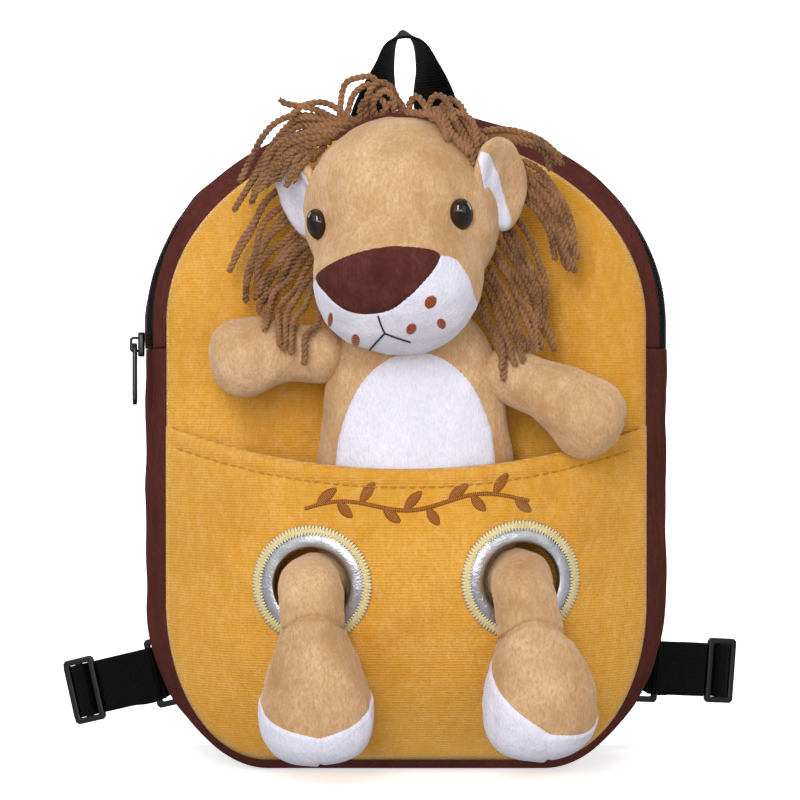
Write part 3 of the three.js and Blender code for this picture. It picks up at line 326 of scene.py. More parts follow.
def share_of_reach(x, z, centre):
    """How far a place lies from a centre height towards the seam: 0 at the centre and 1 on it."""
    x, z = np.broadcast_arrays(np.asarray(x, float), np.asarray(z, float))
    shape = x.shape
    dx, dz = x.ravel()[:, None], z.ravel()[:, None] - centre
    distance = np.maximum(np.hypot(dx, dz), 1e-6)
    dx, dz = dx / distance, dz / distance
    from_x, from_z = SEAM[:, 0], SEAM[:, 1] - centre
    run_x, run_z = np.roll(from_x, -1) - from_x, np.roll(from_z, -1) - from_z
    cross = dx * run_z - dz * run_x
    cross = np.where(np.abs(cross) < 1e-9, 1e-9, cross)
    away = (from_x * run_z - from_z * run_x) / cross
    along = (from_x * dz - from_z * dx) / cross
    reach = np.where((away > 0) & (along >= -1e-6) & (along <= 1 + 1e-6), away, 0).max(1)
    return np.minimum(distance[:, 0] / np.maximum(reach, 1e-6), 1).reshape(shape)


def seam_inset(depth):
    return SIDE_BULGE * (1 - np.maximum(np.sin(math.pi * depth ** 1.36), 0) ** 0.7)


def seam_lift(depth):
    past = np.abs(depth - 0.5) * BAG_DEPTH - BASE_DEPTH / 2
    return SEAM_LIFT * (np.maximum(past, 0) / (BAG_DEPTH / 2 - BASE_DEPTH / 2)) ** 2


def gusset_skin(station, depth, out=0.0):
    x, z = outline(station, seam_inset(depth) - out, seam_lift(depth) - out)
    return points(x, (depth - 0.5) * BAG_DEPTH, z)


def front_skin(x, z):
    share = share_of_reach(x, z, PANEL_CENTRE)
    off = np.hypot((x - LION_X) / (0.27 * BAG_WIDTH), (z - 0.55 * BAG_HEIGHT) / (0.36 * BAG_HEIGHT))
    return FRONT_FACE - PANEL_DOME * (1 - share ** 4) * ease(off, 0.9, 1.3)


def pocket_skin(x, z):
    share = share_of_reach(x, z, POCKET_CENTRE)
    return FRONT_FACE - GAP - CLOTH - POCKET_DEPTH * (1 - share ** 2.4)


def back_skin(x, z):
    share = share_of_reach(x, z, PANEL_CENTRE)
    return BACK_FACE + BACK_DOME * (1 - share ** 4)


def hem_height(x):
    return HEM_HEIGHT + HEM_SAG * (x / (BAG_WIDTH / 2)) ** 2


# Meshes


def unit_grid(across, along):
    """A flat grid, with each vertex's shares from 0 to 1 across and along it."""
    mesh = bmesh.new()
    bmesh.ops.create_grid(mesh, x_segments=across, y_segments=along, size=1)
    spots = np.array([vert.co[:2] for vert in mesh.verts])
    spots = (spots - spots.min(0)) / (spots.max(0) - spots.min(0))
    return mesh, spots[:, 0], spots[:, 1]


def unit_ball(sides, rows):
    """A ball with its poles up and down, with each vertex's turn round it and share of the way down."""
    mesh, u, v = unit_grid(sides, rows)
    turn, down = u * 2 * math.pi, v * math.pi
    put(mesh, points(np.sin(down) * np.cos(turn), np.sin(down) * np.sin(turn), np.cos(down)) / MM)
    bmesh.ops.remove_doubles(mesh, verts=mesh.verts, dist=1e-6)
    ways = np.array([vert.co for vert in mesh.verts])
    return mesh, np.arctan2(ways[:, 1], ways[:, 0]), np.arccos(np.clip(ways[:, 2], -1, 1)) / math.pi


def even_ball(fineness):
    """A ball of even triangles, with each vertex's way from its middle."""
    mesh = bmesh.new()
    bmesh.ops.create_icosphere(mesh, subdivisions=fineness, radius=1)
    return mesh, unit(np.array([vert.co for vert in mesh.verts]))


def put(mesh, places):
    for vert, place in zip(mesh.verts, places * MM):
        vert.co = place


def map_cloth(mesh, along, across):
    """Cloth coordinates in centimetres on each vertex, for weave that follows the piece."""
    layer = mesh.loops.layers.uv.new("cloth")
    mesh.verts.index_update()
    for face in mesh.faces:
        for loop in face.loops:
            spot = loop.vert.index
            loop[layer].uv = (along[spot] / 10, across[spot] / 10)


def face_outwards(mesh, inside=None):
    """Turns the faces to point away from the inside, which is a point for an open sheet."""
    mesh.normal_update()
    if inside is None:
        if mesh.calc_volume(signed=True) < 0:
            bmesh.ops.reverse_faces(mesh, faces=mesh.faces)
        return
    middle = Vector(inside) * MM
    total = sum(face.normal.dot(face.calc_center_median() - middle) * face.calc_area() for face in mesh.faces)
    if total < 0:
        bmesh.ops.reverse_faces(mesh, faces=mesh.faces)


def piece(name, mesh, material, replaced=(), body="bag"):
    """A finished mesh as an object that rides on a body and stands for the nodes that it replaces."""
    data = bpy.data.meshes.new(name)
    mesh.to_mesh(data)
    mesh.free()
    made = bpy.data.objects.new(name, data)
    bpy.context.scene.collection.objects.link(made)
    data.materials.append(material)
    data.polygons.foreach_set("use_smooth", [True] * len(data.polygons))
    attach(made, body)
    if replaced:
        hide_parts(*replaced)
    return made


def thicken(made, thickness):
    """Gives a sheet its thickness inwards."""
    wall = made.modifiers.new("thickness", "SOLIDIFY")
    wall.thickness = thickness * MM
    wall.offset = -1
    return made


def threads(name, paths, radius, material, sides=6, tapers=None, replaced=()):
    """Round strands along paths, all in one piece."""
    curve = bpy.data.curves.new(name, "CURVE")
    curve.dimensions = "3D"
    curve.bevel_depth = radius * MM
    curve.bevel_resolution = sides // 2 - 2
    curve.use_fill_caps = True
    for number, path in enumerate(paths):
        count = len(path)
        line = curve.splines.new("POLY")
        line.points.add(count - 1)
        line.points.foreach_set("co", np.column_stack([np.asarray(path) * MM, np.ones(count)]).ravel())
        if tapers is not None:
            line.points.foreach_set("radius", tapers[number])
    strands = bpy.data.objects.new(name, curve)
    mesh = bmesh.new()
    shape = bpy.data.meshes.new_from_object(strands)
    mesh.from_mesh(shape)
    bpy.data.objects.remove(strands)
    bpy.data.curves.remove(curve)
    bpy.data.meshes.remove(shape)
    return piece(name, mesh, material, replaced)


def surface_of(*names):
    """The finished surface of some pieces, to seat threads and yarn on."""
    mesh = bmesh.new()
    for name in names:
        mesh.from_mesh(bpy.data.objects[name].data)
    tree = BVHTree.FromBMesh(mesh)
    mesh.free()
    return tree


def seated(surface, x, z, lift):
    """Points on the front of a surface, raised off it by the lift."""
    found = []
    for px, pz, rise in zip(*np.broadcast_arrays(x, z, lift)):
        spot, normal, _, _ = surface.ray_cast(Vector((float(px), -300.0, float(pz))) * MM, Vector((0, 1, 0)))
        if spot is None:
            spot, normal, _, _ = surface.find_nearest(Vector((float(px), -100.0, float(pz))) * MM)
        found.append(np.array(spot) / MM + np.array(normal if normal.y < 0 else -normal) * rise)
    return np.array(found)


# Materials


def linear(colour):
    """An sRGB hex colour as the linear one that a socket takes."""
    parts = [int(colour[first:first + 2], 16) / 255 for first in (1, 3, 5)]
    return (*(((part + 0.055) / 1.055) ** 2.4 if part > 0.04045 else part / 12.92 for part in parts), 1.0)


def add(tree, kind, inputs, **options):
    """Adds a node, sets its options, and fills or links its inputs."""
    made = tree.nodes.new("ShaderNode" + kind)
    for option, value in options.items():
        setattr(made, option, value)
    for socket, value in inputs.items():
        if isinstance(value, bpy.types.NodeSocket):
            tree.links.new(value, made.inputs[socket])
        else:
            made.inputs[socket].default_value = value
    return made


def bare(name):
    made = bpy.data.materials.new(name)
    made.use_nodes = True
    made.node_tree.nodes.clear()
    return made, made.node_tree


def bands(apart, space=1000):
    """A wave texture's scale for bands that many mm apart, where one unit of its space is that many mm."""
    return space / apart * math.pi / 10


def velour(name, base, shade, light, sheen=0.5, rows=0.0, nap=30.0, contrast=1.0, gloss=0.06):
    """Short velour pile, brushed both ways by hands: wide soft blotches, tufts and a fine grain.

    Rows are the knitted courses that show through the pile, and that many mm apart, with painted shade in the
    grooves between them.
    """
    made, tree = bare(name)
    place = add(tree, "TexCoord", {}).outputs["Object"]
    brushed = add(tree, "TexNoise", {"Vector": place, "Scale": 1000 / nap, "Detail": 2.0, "Distortion": 0.5})
    stroked = add(tree, "Mapping", {"Vector": place, "Scale": (1.0, 1.0, 0.5)}).outputs[0]
    tufts = add(tree, "TexNoise", {"Vector": stroked, "Scale": 1000 / TUFT, "Detail": 3.0, "Distortion": 0.8})
    pile = add(tree, "TexNoise", {"Vector": stroked, "Scale": 1000 / PILE_GRAIN, "Detail": 2.0,
                                  "Roughness": 0.75})
    dark = add(tree, "MapRange", {"Value": brushed.outputs[0], "From Min": 0.3, "From Max": 0.7,
                                  "To Min": 0.8 * contrast, "To Max": 0.0})
    pale = add(tree, "MapRange", {"Value": tufts.outputs[0], "From Min": 0.42, "From Max": 0.75,
                                  "To Min": 0.0, "To Max": 0.26 * contrast})
    tips = add(tree, "MapRange", {"Value": pile.outputs[0], "From Min": 0.3, "From Max": 0.62,
                                  "To Min": 0.6, "To Max": 0.0})
    first = add(tree, "Mix", {0: dark.outputs[0], 6: linear(base), 7: linear(shade)}, data_type="RGBA")
    second = add(tree, "Mix", {0: pale.outputs[0], 6: first.outputs[2], 7: linear(light)}, data_type="RGBA")
    colour = add(tree, "Mix", {0: tips.outputs[0], 6: second.outputs[2], 7: linear(shade)}, data_type="RGBA")
    coarse = add(tree, "Bump", {"Height": tufts.outputs[0], "Strength": 0.3, "Distance": 1.2 * MM})
    surface = add(tree, "Bump", {"Height": pile.outputs[0], "Strength": 0.6, "Distance": 0.9 * MM,
                                 "Normal": coarse.outputs[0]})
    if rows:
        courses = add(tree, "TexWave", {"Vector": place, "Scale": bands(rows), "Distortion": 1.6,
                                        "Detail": 2.0, "Detail Scale": 0.6}, bands_direction="Z")
        # painted shade: the colour darkens towards the shade colour in the grooves between the knitted
        # courses
        course_shade = add(tree, "MapRange", {"Value": courses.outputs[1], "From Min": 0.0, "From Max": 0.6,
                                        "To Min": 0.32, "To Max": 0.0})
        colour = add(tree, "Mix", {0: course_shade.outputs[0], 6: colour.outputs[2], 7: linear(shade)},
                     data_type="RGBA")
        surface = add(tree, "Bump", {"Height": courses.outputs[1], "Strength": 0.5, "Distance": 0.4 * MM,
                                     "Normal": surface.outputs[0]})
    shader = add(tree, "BsdfPrincipled", {
        "Base Color": colour.outputs[2], "Roughness": 0.92, "Specular IOR Level": gloss,
        "Normal": surface.outputs[0], "Sheen Weight": sheen, "Sheen Roughness": 0.4,
        "Sheen Tint": linear(light),
    })
    add(tree, "OutputMaterial", {"Surface": shader.outputs[0]})
    return made


def plain(name, colour, second, roughness, grain, depth, metallic=0.0):
    """Moulded plastic, lacquered metal or thread: a fine grain of that size in mm, and two near shades."""
    made, tree = bare(name)
    place = add(tree, "TexCoord", {}).outputs["Object"]
    speckle = add(tree, "TexNoise", {"Vector": place, "Scale": 1000 / grain, "Detail": 3.0})
    shade = add(tree, "Mix", {0: speckle.outputs[0], 6: linear(colour), 7: linear(second)}, data_type="RGBA")
    uneven = add(tree, "MapRange", {"Value": speckle.outputs[0], "To Min": roughness * 0.8,
                                    "To Max": roughness * 1.2})
    relief = add(tree, "Bump", {"Height": speckle.outputs[0], "Strength": 0.4, "Distance": depth * MM})
    shader = add(tree, "BsdfPrincipled", {
        "Base Color": shade.outputs[2], "Roughness": uneven.outputs[0], "Metallic": metallic,
        "Normal": relief.outputs[0],
    })
    add(tree, "OutputMaterial", {"Surface": shader.outputs[0]})
    return made


def leatherette(name, colour, crease):
    """Silver-coated cloth: satin metal foil with a fine pebble grain and soft creases."""
    made, tree = bare(name)
    place = add(tree, "TexCoord", {}).outputs["Object"]
    pebble = add(tree, "TexVoronoi", {"Vector": place, "Scale": 1000 / 0.9})
    creases = add(tree, "TexNoise", {"Vector": place, "Scale": 1000 / 6.0, "Detail": 4.0, "Distortion": 1.2})
    shade = add(tree, "Mix", {0: creases.outputs[0], 6: linear(colour), 7: linear(crease)}, data_type="RGBA")
    worn = add(tree, "MapRange", {"Value": creases.outputs[0], "To Min": 0.26, "To Max": 0.4})
    low = add(tree, "Bump", {"Height": creases.outputs[0], "Strength": 0.35, "Distance": 0.6 * MM})
    high = add(tree, "Bump", {"Height": pebble.outputs[0], "Strength": 0.4, "Distance": 0.2 * MM,
                              "Normal": low.outputs[0]})
    shader = add(tree, "BsdfPrincipled", {
        "Base Color": shade.outputs[2], "Roughness": worn.outputs[0], "Metallic": 0.9,
        "Normal": high.outputs[0],
    })
    add(tree, "OutputMaterial", {"Surface": shader.outputs[0]})
    return made


def ribbed_webbing(name, colour, thread):
    """Woven polypropylene webbing: ribs across it 1.3 mm apart, broken by the warp threads 0.9 mm apart."""
    made, tree = bare(name)
    cloth = add(tree, "UVMap", {}, uv_map="cloth").outputs[0]
    ribs = add(tree, "TexWave", {"Vector": cloth, "Scale": bands(RIB, 10), "Distortion": 0.6},
               bands_direction="X")
    warp = add(tree, "TexWave", {"Vector": cloth, "Scale": bands(WARP, 10), "Distortion": 0.4},
               bands_direction="Y")
    weave = add(tree, "Math", {0: ribs.outputs[1], 1: warp.outputs[1]}, operation="MULTIPLY")
    shade = add(tree, "Mix", {0: weave.outputs[0], 6: linear(colour), 7: linear(thread)}, data_type="RGBA")
    relief = add(tree, "Bump", {"Height": weave.outputs[0], "Strength": 0.9, "Distance": 0.4 * MM})
    shader = add(tree, "BsdfPrincipled", {
        "Base Color": shade.outputs[2], "Roughness": 0.6, "Specular IOR Level": 0.1,
        "Normal": relief.outputs[0],
    })
    add(tree, "OutputMaterial", {"Surface": shader.outputs[0]})
    return made


def satin_thread(name, colour, shade):
    """Rayon thread in satin stitch: bright threads side by side, drawn 0.8 mm apart so that they show, with
    painted shade in the grooves between them.
    """
    made, tree = bare(name)
    cloth = add(tree, "UVMap", {}, uv_map="cloth").outputs[0]
    laid = add(tree, "TexWave", {"Vector": cloth, "Scale": bands(SATIN, 10), "Distortion": 0.8,
                                 "Detail": 2.0}, bands_direction="X")
    # painted shade: the thread colour darkens to the shade colour in the grooves between the threads
    shaded = add(tree, "MapRange", {"Value": laid.outputs[1], "From Min": 0.1, "From Max": 0.6})
    painted_shade = add(tree, "Mix", {0: shaded.outputs[0], 6: linear(shade), 7: linear(colour)}, data_type="RGBA")
    relief = add(tree, "Bump", {"Height": laid.outputs[1], "Strength": 0.8, "Distance": 0.3 * MM})
    shader = add(tree, "BsdfPrincipled", {
        "Base Color": painted_shade.outputs[2], "Roughness": 0.38, "Normal": relief.outputs[0],
        "Sheen Weight": 0.15, "Sheen Roughness": 0.3,
    })
    add(tree, "OutputMaterial", {"Surface": shader.outputs[0]})
    return made


def spun_yarn(name, colour, shade, light):
    """Two-ply acrylic yarn: hairy plies, darker in the turns between them, and painted shade in soft patches
    along the strands.
    """
    made, tree = bare(name)
    place = add(tree, "TexCoord", {}).outputs["Object"]
    painted_shade = add(tree, "TexNoise", {"Vector": place, "Scale": 1000 / 11.0, "Detail": 2.0})
    hairs = add(tree, "TexNoise", {"Vector": place, "Scale": 1000 / 0.7, "Detail": 3.0, "Roughness": 0.7})
    # painted shade: the yarn darkens to the shade colour in soft patches along the strands
    shade_patches = add(tree, "MapRange", {"Value": painted_shade.outputs[0], "From Min": 0.34, "From Max": 0.62})
    first = add(tree, "Mix", {0: shade_patches.outputs[0], 6: linear(shade), 7: linear(colour)}, data_type="RGBA")
    lit = add(tree, "MapRange", {"Value": hairs.outputs[0], "From Min": 0.4, "From Max": 0.72, "To Max": 0.5})
    second = add(tree, "Mix", {0: lit.outputs[0], 6: first.outputs[2], 7: linear(light)}, data_type="RGBA")
    relief = add(tree, "Bump", {"Height": hairs.outputs[0], "Strength": 0.7, "Distance": 0.5 * MM})
    shader = add(tree, "BsdfPrincipled", {
        "Base Color": second.outputs[2], "Roughness": 0.9, "Specular IOR Level": 0.2,
        "Normal": relief.outputs[0], "Sheen Weight": 0.4, "Sheen Roughness": 0.5,
        "Sheen Tint": linear(light),
    })
    add(tree, "OutputMaterial", {"Surface": shader.outputs[0]})
    return made


def eye_gloss(name, pupil, iris):
    """Polished safety eye: a black middle and a dark brown rim, under a clear gloss."""
    made, tree = bare(name)
    rim = add(tree, "Attribute", {}, attribute_name="rim").outputs["Fac"]
    ring = add(tree, "MapRange", {"Value": rim, "From Min": 0.8, "From Max": 0.9})
    shade = add(tree, "Mix", {0: ring.outputs[0], 6: linear(pupil), 7: linear(iris)}, data_type="RGBA")
    shader = add(tree, "BsdfPrincipled", {
        "Base Color": shade.outputs[2], "Roughness": 0.02, "Specular IOR Level": 0.6,
    })
    add(tree, "OutputMaterial", {"Surface": shader.outputs[0]})
    return made


# Brushed polyester velour: deep yellow that pales where the pile is stroked, over fine knitted rows
YELLOW = velour("yellow_velour", "#E2A648", "#C98A26", "#F4D698", sheen=0.8, rows=1.15, nap=58.0,
                contrast=0.85)
# The same velour dyed chocolate: quite matt and even, with a faint lighter bloom
BROWN = velour("brown_velour", "#653530", "#42231F", "#805047", sheen=0.06, contrast=0.7, gloss=0.0)
# Short tan plush: warm, and mottled where hands have brushed it both ways
TAN = velour("tan_velour", "#D6B189", "#A87C4E", "#ECD3B6")
# White plush: cool and clean, with only a trace of shade in the pile
WHITE = velour("white_velour", "#E4E2EE", "#C9C5D4", "#F6F5FA", sheen=0.2, contrast=0.5)
# Dark plush of the nose: close pile with small paler flecks
NOSE = velour("nose_velour", "#5C2F2A", "#41201D", "#7C4E45", sheen=0.25, nap=14.0)
# Spun acrylic yarn: hairy and matt, with painted shade in soft darker patches along each strand
YARN = spun_yarn("mane_yarn", "#8C6040", "#553621", "#B8916C")
# Silver foil on cloth: bright soft highlights, broken by a pebble grain
SILVER = leatherette("silver_leatherette", "#D2D2D6", "#A4A4AA")
# Woven polypropylene: matt black, ribbed across
WEBBING = ribbed_webbing("black_webbing", "#020203", "#0D0D0F")
# Moulded acetal with a fine grain: black with a dull shine on its rounded edges
PLASTIC = plain("moulded_black_plastic", "#020203", "#060607", 0.5, grain=1.1, depth=0.05)
# Die-cast zinc under black lacquer: a tighter gloss than the plastic's
LACQUER = plain("black_lacquered_zinc", "#08080A", "#121214", 0.3, grain=0.9, depth=0.03, metallic=0.5)
# Spun polyester threads: dry and matt, a shade darker where they turn under
PALE_THREAD = plain("pale_overlock_thread", "#E6E2D2", "#C6C0A8", 0.55, grain=0.6, depth=0.1)
YELLOW_THREAD = plain("yellow_overlock_thread", "#E2CE74", "#BFA04A", 0.55, grain=0.6, depth=0.1)
HEM_STITCH = plain("mustard_thread", "#C48A2E", "#A9741F", 0.6, grain=0.6, depth=0.1)
MOUTH_THREAD = plain("black_thread", "#100E12", "#201C24", 0.6, grain=0.6, depth=0.08)
# Rayon embroidery threads: silky, with a fine ridge for each thread and painted shade between the ridges
EMBROIDERY = satin_thread("brown_embroidery_thread", "#A8640F", "#6C3C08")
SPOT_THREAD = satin_thread("rust_embroidery_thread", "#A34A1A", "#6A2A0C")
# Extruded nylon coil: black with a small wet-looking glint on each turn
COIL = plain("black_nylon_coil", "#060607", "#121214", 0.35, grain=0.8, depth=0.05)
# Polished acrylic: black with a sharp window glint and a dark brown rim
EYE = eye_gloss("black_safety_eye", "#010101", "#2A1006")


# Bag shell


def panel_mesh(skin, centre, sides=240, rows=64):
    """A sheet from a centre height out to the seam, which rolls under at its edge."""
    mesh, turn, down = unit_ball(sides, 2 * rows)
    under = [vert for vert, share in zip(mesh.verts, down) if share > 0.5 + 0.2 / rows]
    keep = down <= 0.5 + 0.2 / rows
    share = np.minimum(down[keep] * 2, 1)
    station = even_stations(0, 8, np.mod(turn[keep] / (2 * math.pi), 1))
    seam_x, seam_z = outline(station, SIDE_BULGE, SEAM_LIFT)
    bmesh.ops.delete(mesh, geom=under, context="VERTS")
    x, z = seam_x * share, centre + (seam_z - centre) * share
    put(mesh, skin(x, z, share))
    return mesh


def front_face(x, z, share):
    roll = 2.4 * ease(share, 0.965, 1.0) ** 2
    y = front_skin(x, z) + roll
    spot = points(x, y, z)
    soft = 1 - share ** 6
    return points(x, y - (0.9 * lumps(spot, 70, 3) + 0.35 * lumps(spot, 24, 4)) * soft, z)


def back_face(x, z, share):
    roll = 3.5 * ease(share, 0.93, 1.0) ** 2
    y = back_skin(x, z) - roll
    spot = points(x, y, z)
    return points(x, y + (0.8 * lumps(spot, 60, 5) + 0.25 * lumps(spot, 20, 6)) * (1 - share ** 6), z)


def make_panels():
    face = panel_mesh(front_face, PANEL_CENTRE)
    face_outwards(face, (0, 60, PANEL_CENTRE))
    made = thicken(piece("front_velour", face, YELLOW, ["front_panel"]), PILE_CLOTH)
    back = panel_mesh(back_face, PANEL_CENTRE)
    face_outwards(back, (0, -60, PANEL_CENTRE))
    made = thicken(piece("back_velour", back, BROWN, ["back_panel"]), BACK_CLOTH)


def strip(first, last, low, high, along, across, edge_roll, seed, lip=0.0):
    """A band of the gusset between two stations and two depths, drawn in along its edges."""
    mesh, u, v = unit_grid(along, across)
    station = even_stations(first, last, u)
    depth = mix(low, high, v)
    edge = np.minimum(v, 1 - v) * (high - low) * BAG_DEPTH
    spot = gusset_skin(station, depth)
    calm = ease(spot[:, 2], 4, 30)
    swell = (0.8 * lumps(spot, 60, seed) + 0.4 * lumps(spot, 22, seed + 1)) * ease(edge, 0, 12) * calm
    over_zip = lip * ease(v, 0.5, 0.95) * ease(spot[:, 2], 205, 262)
    out = swell + over_zip - edge_roll * (1 - ease(edge, 0, 3.0))
    put(mesh, gusset_skin(station, depth, out))
    face_outwards(mesh, (0, 0, PANEL_CENTRE))
    return mesh


def make_gusset():
    gap = GAP / (ARCH_START - CORNER_RISE)
    first, last = ZIP_STATION + gap, 8 - ZIP_STATION - gap
    centre, half = ZIP_SETBACK / BAG_DEPTH, ZIP_OPENING / BAG_DEPTH / 2
    base = strip(-ZIP_STATION, ZIP_STATION, 0.0, 1.0, 300, 48, 1.2, 11)
    front = strip(first, last, 0.0, centre - half, 200, 18, 1.0, 13, lip=3.4)
    back = strip(first, last, centre + half, 1.0, 200, 30, 1.0, 15)
    names = ("gusset_base", "gusset_arch_front", "gusset_arch_back")
    for mesh, node in zip((base, front, back), names):
        made = thicken(piece(node + "_velour", mesh, BROWN, [node]), PILE_CLOTH)


def zip_line(depth, out, step):
    first, last = ZIP_STATION + 0.01, 8 - ZIP_STATION - 0.01
    dense = even_stations(first, last, np.linspace(0, 1, 900))
    line = gusset_skin(dense, np.full(900, depth), out)
    reach = lengths(line)
    where = np.arange(0, reach[-1], step)
    return np.stack([np.interp(where, reach, line[:, k]) for k in range(3)], -1)


def make_zip():
    """The tape lies between the two arch strips, and two rows of coil mesh along its middle."""
    centre, half = ZIP_SETBACK / BAG_DEPTH, (ZIP_OPENING / 2 - GAP) / BAG_DEPTH
    mesh, u, v = unit_grid(240, 12)
    station = even_stations(ZIP_STATION + 0.003, 8 - ZIP_STATION - 0.003, u)
    put(mesh, gusset_skin(station, mix(centre - half, centre + half, v), -0.8))
    map_cloth(mesh, u * ZIP_RUN, v * (ZIP_OPENING - 2 * GAP))
    face_outwards(mesh, (0, 0, PANEL_CENTRE))
    thicken(piece("zip_tape_weave", mesh, WEBBING, ["zip_tape"]), 1.2)
    paths = []
    for side in (-1, 1):
        line = zip_line(centre + side * COIL_SPACING / BAG_DEPTH, 0.25, COIL_STEP)
        way = unit(np.gradient(line, axis=0))
        out = unit(np.cross(way, [0, 1, 0]))
        turn = np.arange(len(line)) * COIL_STEP / COIL_PITCH * 2 * math.pi + (math.pi if side > 0 else 0)
        sideways = np.array([0, 1, 0]) * (1.15 * np.cos(turn))[:, None]
        upwards = out * (0.5 * np.sin(turn))[:, None]
        paths.append(line + sideways + upwards)
    threads("zip_coil_rows", paths, COIL_THREAD, COIL, sides=4, replaced=["zip_coil"])


# Pocket


POCKET_ROWS = 70
POCKET_COLUMNS = 260


def make_pocket():
    """The pocket is ruled from the seam round the bottom up to the hem."""
    mesh, u, v = unit_grid(POCKET_COLUMNS, POCKET_ROWS)
    u = mix(0.01, 0.99, u)
    end_height = float(hem_height(BAG_WIDTH / 2 - SIDE_BULGE))
    end = 2 + (end_height - CORNER_RISE) / (ARCH_START - CORNER_RISE)
    station = even_stations(-end, end, u)
    seam_x, seam_z = outline(station, SIDE_BULGE, SEAM_LIFT)
    half = BAG_WIDTH / 2 - SIDE_BULGE
    hem_x = half * np.sin((u - 0.5) * math.pi)
    up = v ** 0.9
    x, z = mix(seam_x, hem_x, up), mix(seam_z, hem_height(hem_x), up)
    share = share_of_reach(x, z, POCKET_CENTRE)
    below = hem_height(x) - z
    y = pocket_skin(x, z) + 2.4 * ease(share, 0.975, 1.0) ** 2
    spot = points(x, y, z)
    soft = 1 - share ** 6
    swell = 1.0 * lumps(spot, 75, 21) + 0.4 * lumps(spot, 26, 22)
    for hole_x, hole_z in HOLES.values():
        away = np.hypot(x - hole_x, z - hole_z)
        round_hole = np.arctan2(z - hole_z, x - hole_x)
        puckers = 0.5 * np.exp(-((away - 30) / 8) ** 2) * np.sin(round_hole * 9 + 2 * lumps(spot, 30, 23))
        swell = swell * ease(away, 24, 40) + puckers
    stitched = -0.9 * np.exp(-((below - HEM_FOLD) / 1.3) ** 2)
    folded = 0.5 * np.exp(-((below - HEM_FOLD / 2) / 2.4) ** 2)
    lip = 1.6 * (1 - ease(below, 0, 2.2)) ** 2
    drawn = 0.35 * np.exp(-((below - HEM_FOLD) / 5) ** 2) * np.sin(x / 2.1 + 2 * lumps(spot, 18, 24))
    clear = ease(half - np.abs(x), 0, 8)
    put(mesh, points(x, y - (swell * soft + stitched + folded + drawn - lip) * clear, z))
    map_cloth(mesh, x, z)
    cut = []
    for face in mesh.faces:
        middle = face.calc_center_median()
        reaches = [math.hypot(middle.x / MM - hole_x, middle.z / MM - hole_z)
                   for hole_x, hole_z in HOLES.values()]
        if min(reaches) < HOLE_CUT:
            cut.append(face)
    bmesh.ops.delete(mesh, geom=cut, context="FACES")
    face_outwards(mesh, (0, 60, POCKET_CENTRE))
    made = thicken(piece("pocket_velour", mesh, YELLOW, ["pocket"]), POCKET_CLOTH)


def on_pocket(x, z, out):
    return points(x, pocket_skin(x, z) - out, z)


# Each row of overlock: its name, its shift in half stitches, its inner and outer reach, and its thread
OVERLOCK_STITCHES = 104
OVERLOCK_ROWS = [("pale", 0.0, 5.6, 9.9, PALE_THREAD), ("yellow", 0.5, 6.4, 9.4, YELLOW_THREAD)]


def make_overlock(side):
    """Two threads zigzag over the ring's outer edge, each between the stitches of the other."""
    hole_x, hole_z = HOLES[side]
    count = 2 * OVERLOCK_STITCHES
    number = np.arange(count + 1)
    inner = number % 2 == 0
    for name, shift, low, high, thread in OVERLOCK_ROWS:
        turn = (number + shift) / count * 2 * math.pi
        reach = HOLE_RADIUS + np.where(inner, low, high)
        x, z = hole_x + reach * np.cos(turn), hole_z + reach * np.sin(turn)
        corners = on_pocket(x, z, np.where(inner, 2.1, 0.9))
        fine = through(corners, np.linspace(0, 1, 4 * count + 1))
        fine[:, 1] -= 0.35 * np.sin(np.linspace(0, count * math.pi, 4 * count + 1)) ** 2
        threads(f"overlock_{side}_{name}", [fine], OVERLOCK_THREAD, thread, sides=5)


def make_hole_rings():
    """Each ring is rolled over its inner edge, and its stitches pucker it a little."""
    for side in BOTH:
        hole_x, hole_z = HOLES[side]
        mesh, u, across = unit_grid(160, 26)
        angle = u * 2 * math.pi
        radius = HOLE_RADIUS + RING_WIDTH * 0.86 * across
        x, z = hole_x + radius * np.cos(angle), hole_z + radius * np.sin(angle)
        rolled = np.sin(np.clip(across * 1.15, 0, 1) * math.pi) ** 0.5 * 1.3
        spot = points(x, 0 * x, z)
        pucker = 0.12 * np.sin(angle * 34 + 3 * lumps(spot, 12, 31)) * ease(across, 0.45, 1.0)
        out = 0.7 + rolled + pucker * (1 - across) + 0.15 * lumps(spot, 14, 32)
        y = pocket_skin(x, z) - out + 4.5 * (1 - ease(across, 0, 0.16)) ** 2
        put(mesh, points(x, y, z))
        bmesh.ops.remove_doubles(mesh, verts=mesh.verts, dist=0.01 * MM)
        face_outwards(mesh, (hole_x, 60, hole_z))
        ring = piece(f"hole_ring_{side}_leatherette", mesh, SILVER, [f"hole_ring_{side}"])
        thicken(ring, 0.8)
        make_overlock(side)


